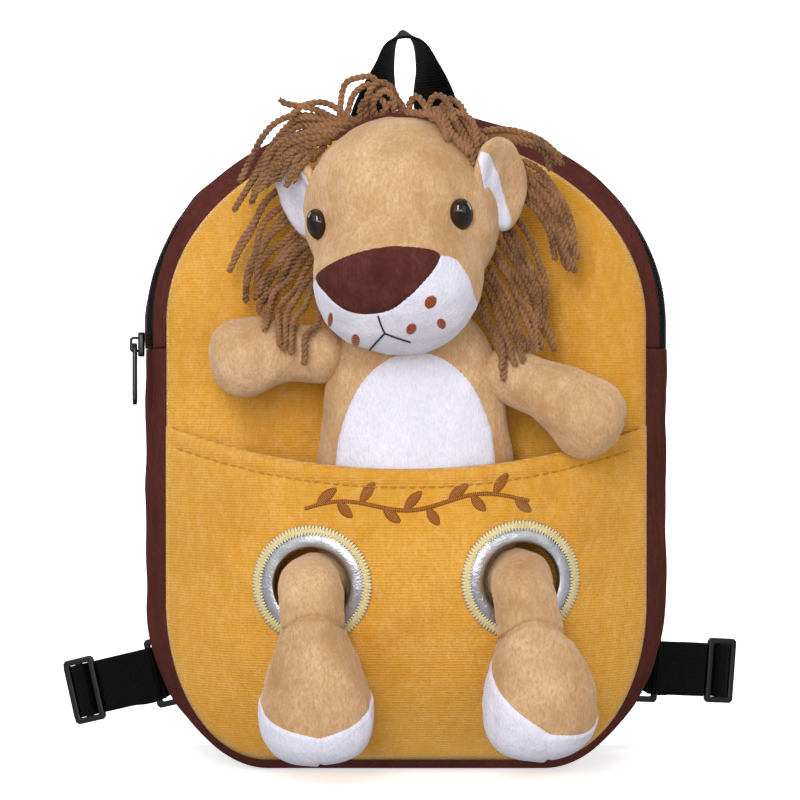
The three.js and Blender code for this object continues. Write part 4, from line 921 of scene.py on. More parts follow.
def satin_columns(name, surface, columns, rise, material):
    """Columns of satin stitch, each domed over a line on the cloth and tucked into it at its edges."""
    mesh = bmesh.new()
    reach, spread = [], []
    for line, width in columns:
        line = np.asarray(line, float)
        run = np.concatenate([[0], np.cumsum(np.hypot(*np.diff(line, axis=0).T))])
        count = max(int(run[-1] / 0.5), 12)
        grid = bmesh.ops.create_grid(mesh, x_segments=count, y_segments=8, size=1)["verts"]
        spots = np.array([vert.co[:2] for vert in grid])
        along, side = (spots[:, 0] + 1) / 2, spots[:, 1]
        where = along * run[-1]
        x, z = np.interp(where, run, line[:, 0]), np.interp(where, run, line[:, 1])
        ahead, behind = np.minimum(where + 0.4, run[-1]), np.maximum(where - 0.4, 0)
        dx, dz = (np.interp(ahead, run, line[:, k]) - np.interp(behind, run, line[:, k]) for k in (0, 1))
        size = np.maximum(np.hypot(dx, dz), 1e-9)
        half = width(along) / 2 * side
        ends = ease(np.minimum(where, run[-1] - where), 0, 0.5)
        height = rise * np.minimum(1 - np.abs(side) ** 3, ends) - 0.15
        places = seated(surface, x - dz / size * half, z + dx / size * half, height)
        for vert, place in zip(grid, places * MM):
            vert.co = place
        reach.append(where)
        spread.append(half)
    map_cloth(mesh, np.concatenate(reach), np.concatenate(spread))
    face_outwards(mesh, (0, 100, 150))
    return piece(name, mesh, material)


def make_hem_stitches():
    paths = []
    for start in np.arange(-HEM_RUN, HEM_RUN - STITCH_LENGTH, STITCH_PITCH):
        x = np.linspace(start, start + STITCH_LENGTH, 5)
        z = hem_height(x) - HEM_FOLD
        arch = 0.5 * np.sin(np.linspace(0, math.pi, 5))
        paths.append(seated(POCKET_SURFACE, x, z, arch - 0.15))
    threads("hem_stitches", paths, HEM_THREAD, HEM_STITCH, sides=5)


def make_twig():
    """A plain leafy twig in satin stitch, in the pocket's embroidered place."""
    share = np.linspace(0, 1, 120)
    stem_x = mix(-43, 52, share)
    stem_z = 117 + 5 * share + 2.6 * np.sin(share * 3.2 * math.pi)
    columns = [(np.stack([stem_x, stem_z], 1), lambda s: 1.7 + 0.4 * np.sin(s * math.pi))]
    for number, root in enumerate(np.linspace(0.06, 0.94, 10)):
        at = int(root * 119)
        up = 1 if number % 2 == 0 else -1
        lean = math.radians(48 + 7 * (number % 3))
        length = 12.5 - 2.0 * (number % 2)
        reach = np.linspace(0, 1, 24)
        bend = up * (math.sin(lean) * reach - 0.18 * reach ** 2)
        leaf = np.stack([stem_x[at] + length * math.cos(lean) * reach, stem_z[at] + length * bend], 1)
        columns.append((leaf, lambda s: 0.8 + 4.2 * np.sin(np.clip(s, 0, 1) * math.pi) ** 0.8))
    satin_columns("twig_embroidery", POCKET_SURFACE, columns, 0.75, EMBROIDERY)


# Webbing


def ribbon_mesh(stations, fine=4):
    """A flat band of webbing through stations that give its middle and its width direction."""
    middle = np.array([at for at, _ in stations], float)
    across = np.array([way for _, way in stations], float)
    mesh, u, v = unit_grid(fine * (len(stations) - 1), 10)
    places = through(middle, u)
    ways = unit(through(across, u))
    shares = np.linspace(0, 1, 400)
    reach = lengths(through(middle, shares))
    put(mesh, places + ways * ((v - 0.5) * WEBBING_WIDTH)[:, None])
    map_cloth(mesh, np.interp(u, shares, reach), v * WEBBING_WIDTH)
    return mesh


def band(name, mesh, node):
    made = piece(name, mesh, WEBBING, [node])
    wall = made.modifiers.new("thickness", "SOLIDIFY")
    wall.thickness = WEBBING_THICKNESS * MM
    wall.offset = 0
    edge = made.modifiers.new("edge", "BEVEL")
    edge.width = 0.4 * MM
    edge.segments = 2
    edge.limit_method = "ANGLE"
    return made


# Each turn of the handle: how far out and up, turned in degrees, and its tilt
HANDLE_TURNS = [
    (1.05, -0.3, 27, 0), (1.02, 0.1, 31, 0), (0.86, 0.38, 43, 0), (0.68, 0.66, 66, 0), (0.4, 0.91, 80, 0.1),
    (-0.07, 1, 88, 0.24), (-0.46, 0.9, 99, 0.12), (-0.66, 0.66, 109, 0), (-0.87, 0.38, 131, 0),
    (-1.02, 0.1, 149, 0), (-1.05, -0.3, 153, 0),
]


def make_handle():
    """The carrying loop twists between its two sewn legs, so its top stands on edge."""
    root = BAG_HEIGHT - SIDE_BULGE / 2
    stations = []
    for out, up, turned, tilt in HANDLE_TURNS:
        turn = math.radians(turned)
        height = root + up * (HANDLE_RISE + SIDE_BULGE / 2)
        across = (-math.cos(turn), math.sin(turn), tilt)
        stations.append(((out * HANDLE_HALF_SPAN, HANDLE_SETBACK, height), across))
    band("handle_webbing", ribbon_mesh(stations, fine=8), "handle")


def seam_x_at(height):
    rise = max(1 - height / CORNER_RISE, 0)
    return mix(BAG_WIDTH / 2 - CORNER_REACH, BAG_WIDTH / 2 - SIDE_BULGE, math.sqrt(1 - rise ** 2))


def strap_frame(side):
    sign = SIGN[side]
    turn, dip = math.radians(STRAP_YAW[side]), math.radians(STRAP_DROOP[side])
    level = math.cos(dip)
    outward = np.array([sign * math.cos(turn) * level, math.sin(turn) * level, -math.sin(dip)])
    height = unit(np.array([0, 0, sign]) - sign * outward[2] * outward)
    back = np.cross(height, outward)
    seam_x = seam_x_at(STRAP_HEIGHT + WEBBING_WIDTH / 2) + 2 * REST_GAP
    corner = np.array([sign * seam_x, BACK_FACE - BACK_PAD / 2, STRAP_HEIGHT])
    return outward, back, height, corner


def wrap_round(bar, way):
    angle = math.pi / 2 + way * np.arange(7) / 6 * math.pi
    return [(bar + BAR_WRAP * math.cos(turn), BAR_WRAP * math.sin(turn)) for turn in angle]


# Places along a shoulder pad: shares of the way down, of the way out and of its bow
PAD_TABLE = [(0, 0, -0.03), (0.12, 0.12, 0), (0.35, 0.4, 0.75), (0.62, 0.74, 1), (0.85, 0.93, 0.6),
             (1, 1, 0.2)]


def pad_route(side):
    stops = []
    for down, out, bow in PAD_TABLE:
        x = SIGN[side] * mix(PAD_TOP_SPREAD, PAD_END_SPREAD, out)
        z = mix(PAD_TOP, PAD_END, down)
        y = float(back_skin(x, z)) + REST_GAP + PAD_THICKNESS / 2 + PAD_BOW * bow
        stops.append((x, y, z))
    return Route(stops)


def webbing_stations(side):
    outward, back, height, corner = strap_frame(side)
    ring_outer = RING_REACH + (RING_LENGTH - RING_BAR) / 2
    bar = (GLIDE_LENGTH - RING_BAR) / 2
    slot = bar / 2
    low = RING_THICKNESS / 2 + GAP + WEBBING_THICKNESS / 2
    sewn = low + GAP + WEBBING_THICKNESS
    far = sewn + 2 * GAP + WEBBING_THICKNESS
    half_slot = [(a * RING_BAR, b * low) for a, b in ((-0.68, 1), (-0.2, 0.75), (-0.054, 0.3))]
    in_slot = half_slot + [(-a, -b) for a, b in reversed(half_slot)]
    at_glide = [
        (-bar - 2.29 * RING_BAR, -BAR_WRAP), (-bar - 1.64 * RING_BAR, -0.6 * BAR_WRAP),
        (-bar - 1.07 * RING_BAR, 0.45 * low), (-bar - 0.64 * RING_BAR, low),
        *[(a - slot, b) for a, b in in_slot],
        *[(slot - a, b) for a, b in reversed(in_slot)],
        (bar, low), (bar + 0.64 * RING_BAR, mix(low, far, 0.06)), (bar + 1.04 * RING_BAR, mix(low, far, 0.3)),
        (bar + 1.14 * RING_BAR, mix(low, far, 0.6)), (bar + 0.86 * RING_BAR, mix(low, far, 0.89)),
        (bar + 0.21 * RING_BAR, far),
    ]
    threaded = [
        (GLIDE_REACH + 0.7 * RING_BAR, sewn), (GLIDE_REACH - bar - 1.43 * RING_BAR, sewn),
        (ring_outer + 2.14 * RING_BAR, BAR_WRAP), *wrap_round(ring_outer, 1),
        (ring_outer + 2.86 * RING_BAR, -BAR_WRAP), *[(GLIDE_REACH + a, b) for a, b in at_glide],
        ((GLIDE_REACH + ring_outer) / 2, far), (ring_outer, far),
    ]
    stations = [(corner + a * outward + b * back, height) for a, b in threaded]
    route = pad_route(side)
    end, way = route.at(np.array([1.0]))[0], route.way(np.array([1.0]))[0]
    meet = end + way * GAP
    behind = np.array([SIGN[side] * (seam_x_at(STRAP_HEIGHT) - 4), end[1], mix(STRAP_HEIGHT, PAD_END, 0.3)])
    between = (behind + meet) / 2 + np.array([SIGN[side] * 3, 0, -1])
    for at, run in ((behind, between - behind), (between, meet - behind), (meet, -way)):
        stations.append((at, -unit(np.cross(run, [0, 1, 0]))))
    return stations


def make_straps():
    for side in BOTH:
        outward, back, height, corner = strap_frame(side)
        webbing = ribbon_mesh(webbing_stations(side))
        band(f"strap_webbing_{side}_weave", webbing, f"strap_webbing_{side}")
        inner = RING_REACH - (RING_LENGTH - RING_BAR) / 2
        tail = [(a * RING_BAR, b * BAR_WRAP) for a, b in ((0.7, 0.8), (-0.36, 0.3), (-1.2, 0.3))]
        loop = tail[::-1] + wrap_round(inner, -1) + [(a, -b) for a, b in tail]
        anchor = ribbon_mesh([(corner + a * outward + b * back, height) for a, b in loop])
        band(f"strap_anchor_{side}_weave", anchor, f"strap_anchor_{side}")
        refined(f"strap_ring_{side}", PLASTIC, 0.6)
        refined(f"strap_slider_{side}", PLASTIC, 0.6)


def refined(node, material, radius, body="bag"):
    """A hard part with its edges rounded off, as it comes out of its mould."""
    mesh = bmesh.new()
    mesh.from_mesh(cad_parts[node].data)
    bmesh.ops.remove_doubles(mesh, verts=mesh.verts, dist=0.001 * MM)
    bmesh.ops.dissolve_limit(mesh, angle_limit=math.radians(1), verts=mesh.verts, edges=mesh.edges)
    sharp = [edge for edge in mesh.edges
             if len(edge.link_faces) == 2 and edge.calc_face_angle(0) > math.radians(25)]
    bmesh.ops.bevel(mesh, geom=sharp, offset=radius * MM, offset_type="OFFSET", segments=3, profile=0.5,
                    affect="EDGES", clamp_overlap=True, material=-1)
    return piece(node + "_moulded", mesh, material, [node], body)


# Stuffed forms

# Sections along each form: shares of its length, of its half width and of its half depth
PAD_SECTIONS = [(0, 0, 0), (0, 0.86, 0.5), (0.03, 0.96, 0.9), (0.15, 1, 1), (0.4, 1, 1), (0.65, 1, 1),
                (0.82, 0.92, 1), (0.94, 0.74, 0.9), (1, 0.62, 0.45), (1, 0, 0)]
BODY_SECTIONS = [(0, 0, 0), (0.015, 0.5, 0.5), (0.07, 0.82, 0.82), (0.2, 1, 1), (0.45, 1, 1),
                 (0.63, 0.94, 0.95), (0.8, 0.84, 0.84), (0.92, 0.6, 0.66), (0.985, 0.3, 0.36), (1, 0, 0)]
ARM_SECTIONS = [(0, 0, 0), (0.04, 0.5, 0.5), (0.15, 0.7, 0.72), (0.38, 0.71, 0.72), (0.56, 0.86, 0.82),
                (0.75, 1, 0.88), (0.89, 0.87, 0.74), (0.97, 0.5, 0.44), (1, 0, 0)]
LEG_SECTIONS = [(0, 0, 0), (0.03, 0.34, 0.42), (0.12, 0.53, 0.66), (0.28, 0.55, 0.68), (0.42, 0.57, 0.67),
                (0.5, 0.6, 0.7), (0.56, 0.71, 0.79), (0.65, 0.88, 0.9), (0.77, 1, 1), (0.88, 0.94, 0.92),
                (0.96, 0.64, 0.6), (1, 0, 0)]


def stuffed(turn, down, sections, half, route, hint, boxy=1.0, limit=None, grow=0.0):
    """Rounded sections strung on a line: half is their half width and half depth."""
    along, wide, deep = through(sections, down).T
    wide, deep = np.maximum(wide, 0), np.maximum(deep, 0)
    along = np.clip(along, 0, 1)
    way = route.way(along)
    inward = unit(np.cross(way, hint))
    across = unit(np.cross(inward, way))
    cap = np.minimum(np.sin(down * math.pi) * 6, 1)
    c, s = np.cos(turn), np.sin(turn)
    spread = (wide * half[0] + grow * cap) * np.sign(c) * np.abs(c) ** boxy
    depth = (deep * half[1] + grow * cap) * np.sign(s) * np.abs(s) ** boxy
    end = grow * (ease(down, 0.9, 1.0) - (1 - ease(down, 0, 0.1)))
    places = route.at(along) + across * spread[:, None] + inward * depth[:, None] + way * end[:, None]
    if limit is not None:
        places[:, 1] = np.minimum(places[:, 1], limit(places[:, 0], places[:, 2]) + grow)
    return places


def off_panel(x, z):
    return front_skin(x, z) - REST_GAP


def body_form(turn, down, grow):
    ahead = lambda depth: FRONT_FACE - depth
    spine = Route([
        (LION_X, ahead(0.5 * BODY_DEPTH), BODY_BASE),
        (LION_X, ahead(0.54 * BODY_DEPTH), BODY_BASE + 0.5 * BODY_HEIGHT),
        (LION_X * 0.4, ahead(0.82 * BODY_DEPTH), BODY_BASE + BODY_HEIGHT),
    ])
    half = (BODY_WIDTH / 2, BODY_DEPTH / 2)
    return stuffed(turn, down, BODY_SECTIONS, half, spine, (1, 0, 0), 0.9, off_panel, grow)


ARM_WAYS = {
    "left": [(0, 0, 0), (0.5, 0.04, 0.03), (0.93, 0.05, -0.06)],
    "right": [(0, 0, -0.05), (0.46, 0.14, -0.26), (0.88, 0.25, -0.56)],
}


def arm_form(side, turn, down, grow):
    sign = SIGN[side]
    shoulder = np.array([LION_X + sign * SHOULDER_SPREAD, FRONT_FACE - 0.68 * BODY_DEPTH, SHOULDER_HEIGHT])
    stops = [shoulder + np.array([sign * out, -forward, up]) * ARM_LENGTH
             for out, forward, up in ARM_WAYS[side]]
    return stuffed(turn, down, ARM_SECTIONS, (ARM_WIDTH / 2, ARM_WIDTH / 2), Route(stops), (0, 0, 1), 1.0,
                   off_panel, grow)


LEG_LEAN = {"left": 0.04, "right": 0.13}
SOLE_SLOPE = {"left": (0, 0.83), "right": (-0.55, 0.8)}
SOLE_RISE = 0.17


def leg_form(side, turn, down, grow):
    x, z = HOLES[side]
    lean = LEG_LEAN[side] * FOOT_DROP
    skin = float(pocket_skin(x, z))
    out = skin - LEG_BEND
    route = Route([
        (mix(LION_X, x, 0.8), FRONT_FACE - 0.5 * BODY_DEPTH, z),
        (x, skin + CLOTH, z),
        (x, mix(skin, out, 0.72), z - LEG_BEND * 0.2),
        (mix(x, x + lean, 0.2), out, z - LEG_BEND),
        (mix(x, x + lean, 0.6), out + 1.5, z - 0.52 * FOOT_DROP),
        (x + lean, out + 5, z - FOOT_DROP),
    ])
    keep_off = lambda px, pz: np.where(pz < z - HOLE_RADIUS, pocket_skin(px, pz) - REST_GAP, 1e6)
    half = (FOOT_WIDTH / 2, FOOT_DEPTH / 2)
    return stuffed(turn, down, LEG_SECTIONS, half, route, (1, 0, 0), 1.0, keep_off, grow)


def sole_field(side, places):
    x, z = HOLES[side]
    across, back = SOLE_SLOPE[side]
    toe = float(pocket_skin(x, z)) - LEG_BEND - FOOT_DEPTH / 2
    dx = places[:, 0] - (x + LEG_LEAN[side] * FOOT_DROP)
    point = 3.0 * np.exp(-np.hypot(dx - 1, 1.6) / 4)
    top = z - FOOT_DROP + SOLE_RISE * FOOT_DROP + across * dx + back * (places[:, 1] - toe) - point
    return (top - places[:, 2]) / math.sqrt(1 + across ** 2 + back ** 2)


def belly_field(places):
    half = BELLY_WIDTH / 2
    arch_foot = BELLY_TOP - 1.5 * half
    turn = np.linspace(0, math.pi, 40)
    arch = np.stack([LION_X + half * np.cos(turn), arch_foot + 1.5 * half * np.sin(turn)], 1)
    foot = BODY_BASE + 0.18 * BODY_HEIGHT
    outline_points = np.vstack([arch, [(LION_X - 0.8 * half, foot), (LION_X + 0.8 * half, foot)]])
    inside = distance_inside(places[:, 0], places[:, 2], outline_points)
    behind = places[:, 1] > FRONT_FACE - 0.6 * BODY_DEPTH
    return np.where(behind, -20.0, inside)


def patch_height(inside, rise=0.55):
    """A sewn patch stands proud inside its outline and dips under the ground cloth outside it."""
    return rise * ease(inside, 0, 1.6) - 1.0 * (1 - ease(inside, -1.4, 0))


def seam_groove(away, depth=0.5, width=1.1):
    """The dip that a sewn seam draws in a stuffed form, by the distance from the seam."""
    return -depth * np.exp(-(away / width) ** 2)


ANKLE_DROP = {"left": 11.0, "right": 15.5}


def leg_seams(side, places):
    """A cross seam where the thigh joins the foot, and a seam down the front of the foot to the sole."""
    x, z = HOLES[side]
    dx = places[:, 0] - (x + LEG_LEAN[side] * FOOT_DROP * 0.5)
    ankle = z - ANKLE_DROP[side] - 0.035 * dx ** 2
    front = ease(-places[:, 1], 88, 96)
    cross = seam_groove(places[:, 2] - ankle, 1.5, 1.1)
    below = 0.9 * np.exp(-((places[:, 2] - ankle + 5) / 4) ** 2)
    middle = places[:, 0] - (x + LEG_LEAN[side] * (z - places[:, 2])) - 1
    down = seam_groove(middle, 0.9, 1.1) * (1 - ease(places[:, 2], 42, 58))
    return (cross + below + down) * front


def stuffing(ground, seed, swell, seams):
    """How far the cloth stands off the plain form: soft hills, and the dips that its seams draw."""
    soft = swell * (0.7 * lumps(ground, 26, seed) + 0.3 * lumps(ground, 9, seed + 1))
    return soft if seams is None else soft + seams(ground)


def trim_patch(mesh, inside):
    """Only the patch and the edge tucked under round it stay."""
    away = [vert for vert, place in zip(mesh.verts, inside) if place < -PATCH_TUCK]
    bmesh.ops.delete(mesh, geom=away, context="VERTS")


def make_form(name, form, material, node, seed, swell=0.5, sides=120, rows=150, seams=None):
    mesh, turn, down = unit_ball(sides, rows)
    ground = form(turn, down, 0.0)
    put(mesh, form(turn, down, stuffing(ground, seed, swell, seams)))
    face_outwards(mesh)
    piece(name, mesh, material, [node])


def make_patch(name, form, field, node, seed, swell=0.5, sides=150, rows=190, seams=None):
    """The patch shares the form's own surface, and only the faces near or inside its outline stay."""
    mesh, turn, down = unit_ball(sides, rows)
    ground = form(turn, down, 0.0)
    inside = field(ground)
    put(mesh, form(turn, down, stuffing(ground, seed, swell, seams) + patch_height(inside)))
    face_outwards(mesh)
    trim_patch(mesh, inside)
    piece(name, mesh, WHITE, [node])


def make_lion_body():
    make_form("body_velour", body_form, TAN, "lion_body", seed=41)
    make_patch("belly_velour", body_form, belly_field, "belly_patch", seed=41)
    for number, side in enumerate(BOTH):
        make_form(f"arm_{side}_velour", partial(arm_form, side), TAN, f"arm_{side}",
                  seed=51 + 4 * number, swell=0.8)
        leg, seams, seed = partial(leg_form, side), partial(leg_seams, side), 61 + 4 * number
        make_form(f"leg_{side}_velour", leg, TAN, f"leg_{side}", seed, swell=0.7,
                  sides=150, rows=250, seams=seams)
        make_patch(f"sole_{side}_velour", leg, partial(sole_field, side), f"sole_{side}", seed, swell=0.7,
                   sides=180, rows=290, seams=seams)


def make_shoulder_pads():
    for number, side in enumerate(BOTH):
        route = pad_route(side)
        form = lambda turn, down, grow, route=route: stuffed(
            turn, down, PAD_SECTIONS, (PAD_WIDTH / 2, PAD_THICKNESS / 2), route, (1, 0, 0), 0.6, None, grow)
        make_form(f"shoulder_pad_{side}_velour", form, BROWN, f"shoulder_pad_{side}",
                  seed=71 + 4 * number, swell=0.4, sides=72, rows=120)


# Head

HEAD_CENTRE = np.array([
    HEAD_X, FRONT_FACE - (HEAD_DEPTH / 2 + HEAD_STANDOFF), BODY_BASE + BODY_HEIGHT + HEAD_RISE])
HEAD_TILT = np.array(
    Matrix.Rotation(math.radians(HEAD_TURN), 3, "Z")
    @ Matrix.Rotation(math.radians(HEAD_PITCH), 3, "X")
    @ Matrix.Rotation(math.radians(HEAD_ROLL), 3, "Y"))
MUZZLE_WAY = np.array([0, -math.cos(math.radians(MUZZLE_DROP)), -math.sin(math.radians(MUZZLE_DROP))])
# Outlines of the face patches from the front, in head widths from the head's middle
NOSE_OUTLINE = [(-0.43, -0.34), (-0.3, -0.24), (-0.1, -0.19), (0.1, -0.19), (0.19, -0.23), (0.13, -0.34),
                (-0.02, -0.48), (-0.13, -0.52), (-0.27, -0.5)]
MUZZLE_OUTLINE = [(-0.75, -0.37), (-0.5, -0.36), (-0.3, -0.29), (0.1, -0.235), (0.18, -0.226),
                  (0.266, -0.246), (0.335, -0.33), (0.37, -0.43), (0.46, -0.62), (0.75, -0.9),
                  (0.75, -1.2), (-0.75, -1.2)]


def head_reach(ways):
    egg = np.linalg.norm(ways / np.array([HEAD_WIDTH / 2, HEAD_DEPTH / 2, HEAD_HEIGHT / 2]), axis=1)
    return 1 / egg + MUZZLE_REACH * ease(ways @ MUZZLE_WAY, 0.45, 1)


def head_point(ways, grow):
    return (ways * (head_reach(ways) + grow)[:, None]) @ HEAD_TILT.T + HEAD_CENTRE


def on_head_plan(table):
    return HEAD_CENTRE[[0, 2]] + np.array(table) * HEAD_WIDTH


def eye_way(side):
    out, up = math.radians(EYE_OUT), math.radians(EYE_UP)
    return np.array([SIGN[side] * math.sin(out) * math.cos(up), -math.cos(out) * math.cos(up), math.sin(up)])


def face_field(table, places):
    """How far inside a face patch's outline each place on the front of the head lies."""
    inside = distance_inside(places[:, 0], places[:, 2], rounded_outline(on_head_plan(table)))
    return np.where(places[:, 1] > HEAD_CENTRE[1] - 0.16 * HEAD_DEPTH, -20.0, inside)


def head_relief(ways, places):
    """Stuffing shows as soft hills, and the eyes are drawn in by their stitches."""
    relief = 0.55 * lumps(places, 30, 81) + 0.25 * lumps(places, 10, 82)
    bridge = np.exp(-(ways[:, 0] / 0.42) ** 2) * ease(-ways[:, 1], 0.5, 0.8)
    relief = relief + bridge * (1.0 * np.exp(-((ways[:, 2] - 0.16) / 0.1) ** 2)
                                - 0.9 * np.exp(-((ways[:, 2] - 0.36) / 0.08) ** 2))
    for side in BOTH:
        seat = eye_way(side)
        away = np.linalg.norm(ways - seat, axis=1) * 40
        relief = relief - 1.3 * np.exp(-(away / 8) ** 2)
    return relief


def make_head():
    mesh, ways = even_ball(7)
    ground = head_point(ways, np.zeros(len(ways)))
    relief = head_relief(ways, ground)
    put(mesh, head_point(ways, relief))
    face_outwards(mesh)
    piece("head_velour", mesh, TAN, ["lion_head"])
    in_muzzle, in_nose = face_field(MUZZLE_OUTLINE, ground), face_field(NOSE_OUTLINE, ground)
    under_nose = 1.2 * ease(in_nose, 0, 1.5)
    patches = (("muzzle", WHITE, "white_plush", in_muzzle, patch_height(in_muzzle, 0.5) - under_nose),
               ("nose", NOSE, "nose_plush", in_nose, patch_height(in_nose, 0.9)))
    for name, material, slot, inside, height in patches:
        mesh, ways = even_ball(7)
        put(mesh, head_point(ways, relief + height))
        face_outwards(mesh)
        trim_patch(mesh, inside)
        piece(f"{name}_velour", mesh, material, [f"{name}_patch"])


def head_ball(centre, turn, places):
    """A small form's points, turned outward and set at a place on the head."""
    c, s = math.cos(turn), math.sin(turn)
    spin = np.array([[c, -s, 0], [s, c, 0], [0, 0, 1]])
    return (places @ spin.T + centre) @ HEAD_TILT.T + HEAD_CENTRE


def make_eyes():
    for side in BOTH:
        way = eye_way(side)
        reach = float(head_reach(way[None])[0])
        mesh, ways = even_ball(6)
        radii = np.array([EYE_WIDTH / 2, EYE_WIDTH * 0.42, EYE_HEIGHT / 2])
        put(mesh, head_ball(way * (reach - 0.6), SIGN[side] * math.radians(EYE_OUT), ways * radii))
        face_outwards(mesh)
        rim = np.hypot(ways[:, 0], ways[:, 2])
        made = piece(f"eye_{side}_dome", mesh, EYE, [f"eye_{side}"])
        layer = made.data.attributes.new("rim", "FLOAT", "POINT")
        layer.data.foreach_set("value", rim.astype(np.float32))


def ear_root(side):
    return np.array([SIGN[side] * HEAD_WIDTH * 0.52, HEAD_DEPTH * 0.06, HEAD_HEIGHT * 0.13 - EAR_LOW[side]])


def ear_places(side, ways, grow):
    """The ear is cupped: its front is pressed in and its rim stays full. Its top leans to the crown."""
    rim = np.hypot(ways[:, 0], ways[:, 2])
    radii = np.array([EAR_WIDTH / 2, EAR_THICKNESS / 2, EAR_HEIGHT / 2])
    shaped = ways * (1 + grow[:, None] / radii)
    pressed = np.where(ways[:, 1] < 0, 0.9 * (1 - ease(rim, 0.35, 0.95)), 0.25 * (1 - rim))
    shaped[:, 1] = shaped[:, 1] + pressed
    lean = -SIGN[side] * math.radians(EAR_LEAN[side])
    across, ahead, up = (shaped * radii).T
    leaning = np.stack([across * math.cos(lean) + up * math.sin(lean), ahead,
                        up * math.cos(lean) - across * math.sin(lean)], -1)
    return head_ball(ear_root(side), SIGN[side] * math.radians(EAR_TURN[side]), leaning)


def make_ears():
    for number, side in enumerate(BOTH):
        mesh, ways = even_ball(6)
        soft = 0.35 * lumps(ways * 20, 14, 91 + number)
        put(mesh, ear_places(side, ways, soft))
        face_outwards(mesh)
        piece(f"ear_{side}_velour", mesh, TAN, [f"ear_{side}"])
        lining, ways = even_ball(6)
        shift, width, length = EAR_LINING[side]
        lined = np.hypot((ways[:, 0] - shift) / width, ways[:, 2] / length)
        inside = np.where(ways[:, 1] < 0, (0.86 - lined) * 14, -5.0)
        put(lining, ear_places(side, ways, soft + patch_height(inside, 0.4)))
        face_outwards(lining)
        trim_patch(lining, inside)
        piece(f"ear_{side}_lining", lining, WHITE, [f"ear_lining_{side}"])


# Face threads


MOUTH_LINES = [
    [(-11.5, 197.2), (-10.3, 193.5), (-8.9, 190.3)],
    [(-8.9, 190.3), (-12.2, 186.9), (-15.2, 183.7)],
    [(-8.9, 190.3), (-3.5, 188.3), (1.5, 186.8)],
]
# Each spot: its place across and up, its width and height, and its lean in degrees
WHISKER_SPOTS = [(-31.3, 196.0, 2.4, 5.8, 8), (-20.9, 187.5, 3.9, 5.2, -4), (-30.1, 187.4, 1.4, 3.6, 30),
                 (9.6, 202.6, 5.0, 5.8, 38), (1.9, 192.0, 4.3, 4.9, 40), (14.1, 194.1, 3.9, 4.4, -30)]


def make_face_threads():
    paths = []
    for line in MOUTH_LINES:
        spots = through(line, np.linspace(0, 1, 22))
        paths.append(seated(HEAD_SURFACE, spots[:, 0], spots[:, 1], 0.2))
    threads("mouth_thread", paths, 0.42, MOUTH_THREAD, sides=6)
    columns = []
    for x, z, width, height, lean in WHISKER_SPOTS:
        turn = math.radians(lean)
        reach = np.linspace(-0.5, 0.5, 16) * height
        line = np.stack([x + reach * math.sin(turn), z + reach * math.cos(turn)], 1)
        columns.append((line, lambda s, width=width: width * np.sqrt(np.maximum(np.sin(s * math.pi), 0.05))))
    satin_columns("whisker_spots", HEAD_SURFACE, columns, 0.7, SPOT_THREAD)


# Mane


# Each bundle: how many strands, and the guides that they lie between, each from root to tip
MANE_BUNDLES = {
    "over_left_ear": (14, [
        [(-36, -99, 262), (-41, -105, 262), (-45, -105, 259), (-48, -103, 253)],
        [(-32, -99, 267), (-42, -104, 267), (-50, -101, 262), (-56, -97, 253)],
        [(-27, -98, 272), (-41, -102, 273), (-55, -97, 264), (-65, -91, 248)],
        [(-20, -98, 276), (-37, -100, 278), (-55, -95, 272), (-73, -86, 243)],
        [(-13, -98, 279), (-32, -97, 282), (-51, -93, 279), (-68, -88, 260)],
    ]),
    "left_side": (15, [
        [(-42, -77, 262), (-57, -75, 252), (-67, -74, 240), (-73, -73, 224)],
        [(-42, -76, 247), (-57, -74, 235), (-65, -73, 221), (-67, -72, 205)],
        [(-40, -77, 236), (-52, -75, 222), (-60, -74, 209), (-64, -75, 198)],
        [(-38, -78, 225), (-47, -78, 213), (-53, -84, 201), (-55, -96, 187)],
        [(-36, -82, 206), (-38, -90, 195), (-40, -97, 186), (-42, -99, 175)],
    ]),
    "forehead": (11, [
        [(0, -102, 280), (7, -109, 282), (13, -116, 278), (16, -119, 270)],
        [(3, -101, 281), (13, -107, 283), (20, -116, 274), (24, -118, 256)],
        [(8, -99, 281), (18, -103, 282), (27, -110, 274), (30, -112, 259)],
        [(14, -97, 280), (23, -100, 280), (30, -106, 274), (33, -108, 266)],
    ]),
    "right_sweep": (5, [
        [(31, -90, 275), (47, -92, 277), (61, -88, 273), (73, -84, 262)],
        [(32, -90, 270), (47, -90, 271), (58, -86, 268), (66, -82, 260)],
    ]),
    "right_upper": (11, [
        [(42, -88, 266), (56, -88, 260), (67, -84, 245), (74, -80, 226)],
        [(42, -86, 252), (54, -84, 244), (62, -80, 231), (67, -78, 216)],
    ]),
    "right_lower": (16, [
        [(42, -84, 245), (52, -80, 230), (59, -77, 213), (61, -75, 196)],
        [(39, -84, 230), (49, -80, 215), (56, -77, 200), (59, -77, 186)],
        [(34, -85, 218), (42, -83, 202), (48, -84, 189), (53, -88, 178)],
        [(30, -85, 205), (34, -88, 192), (37, -95, 180), (39, -100, 169)],
    ]),
}
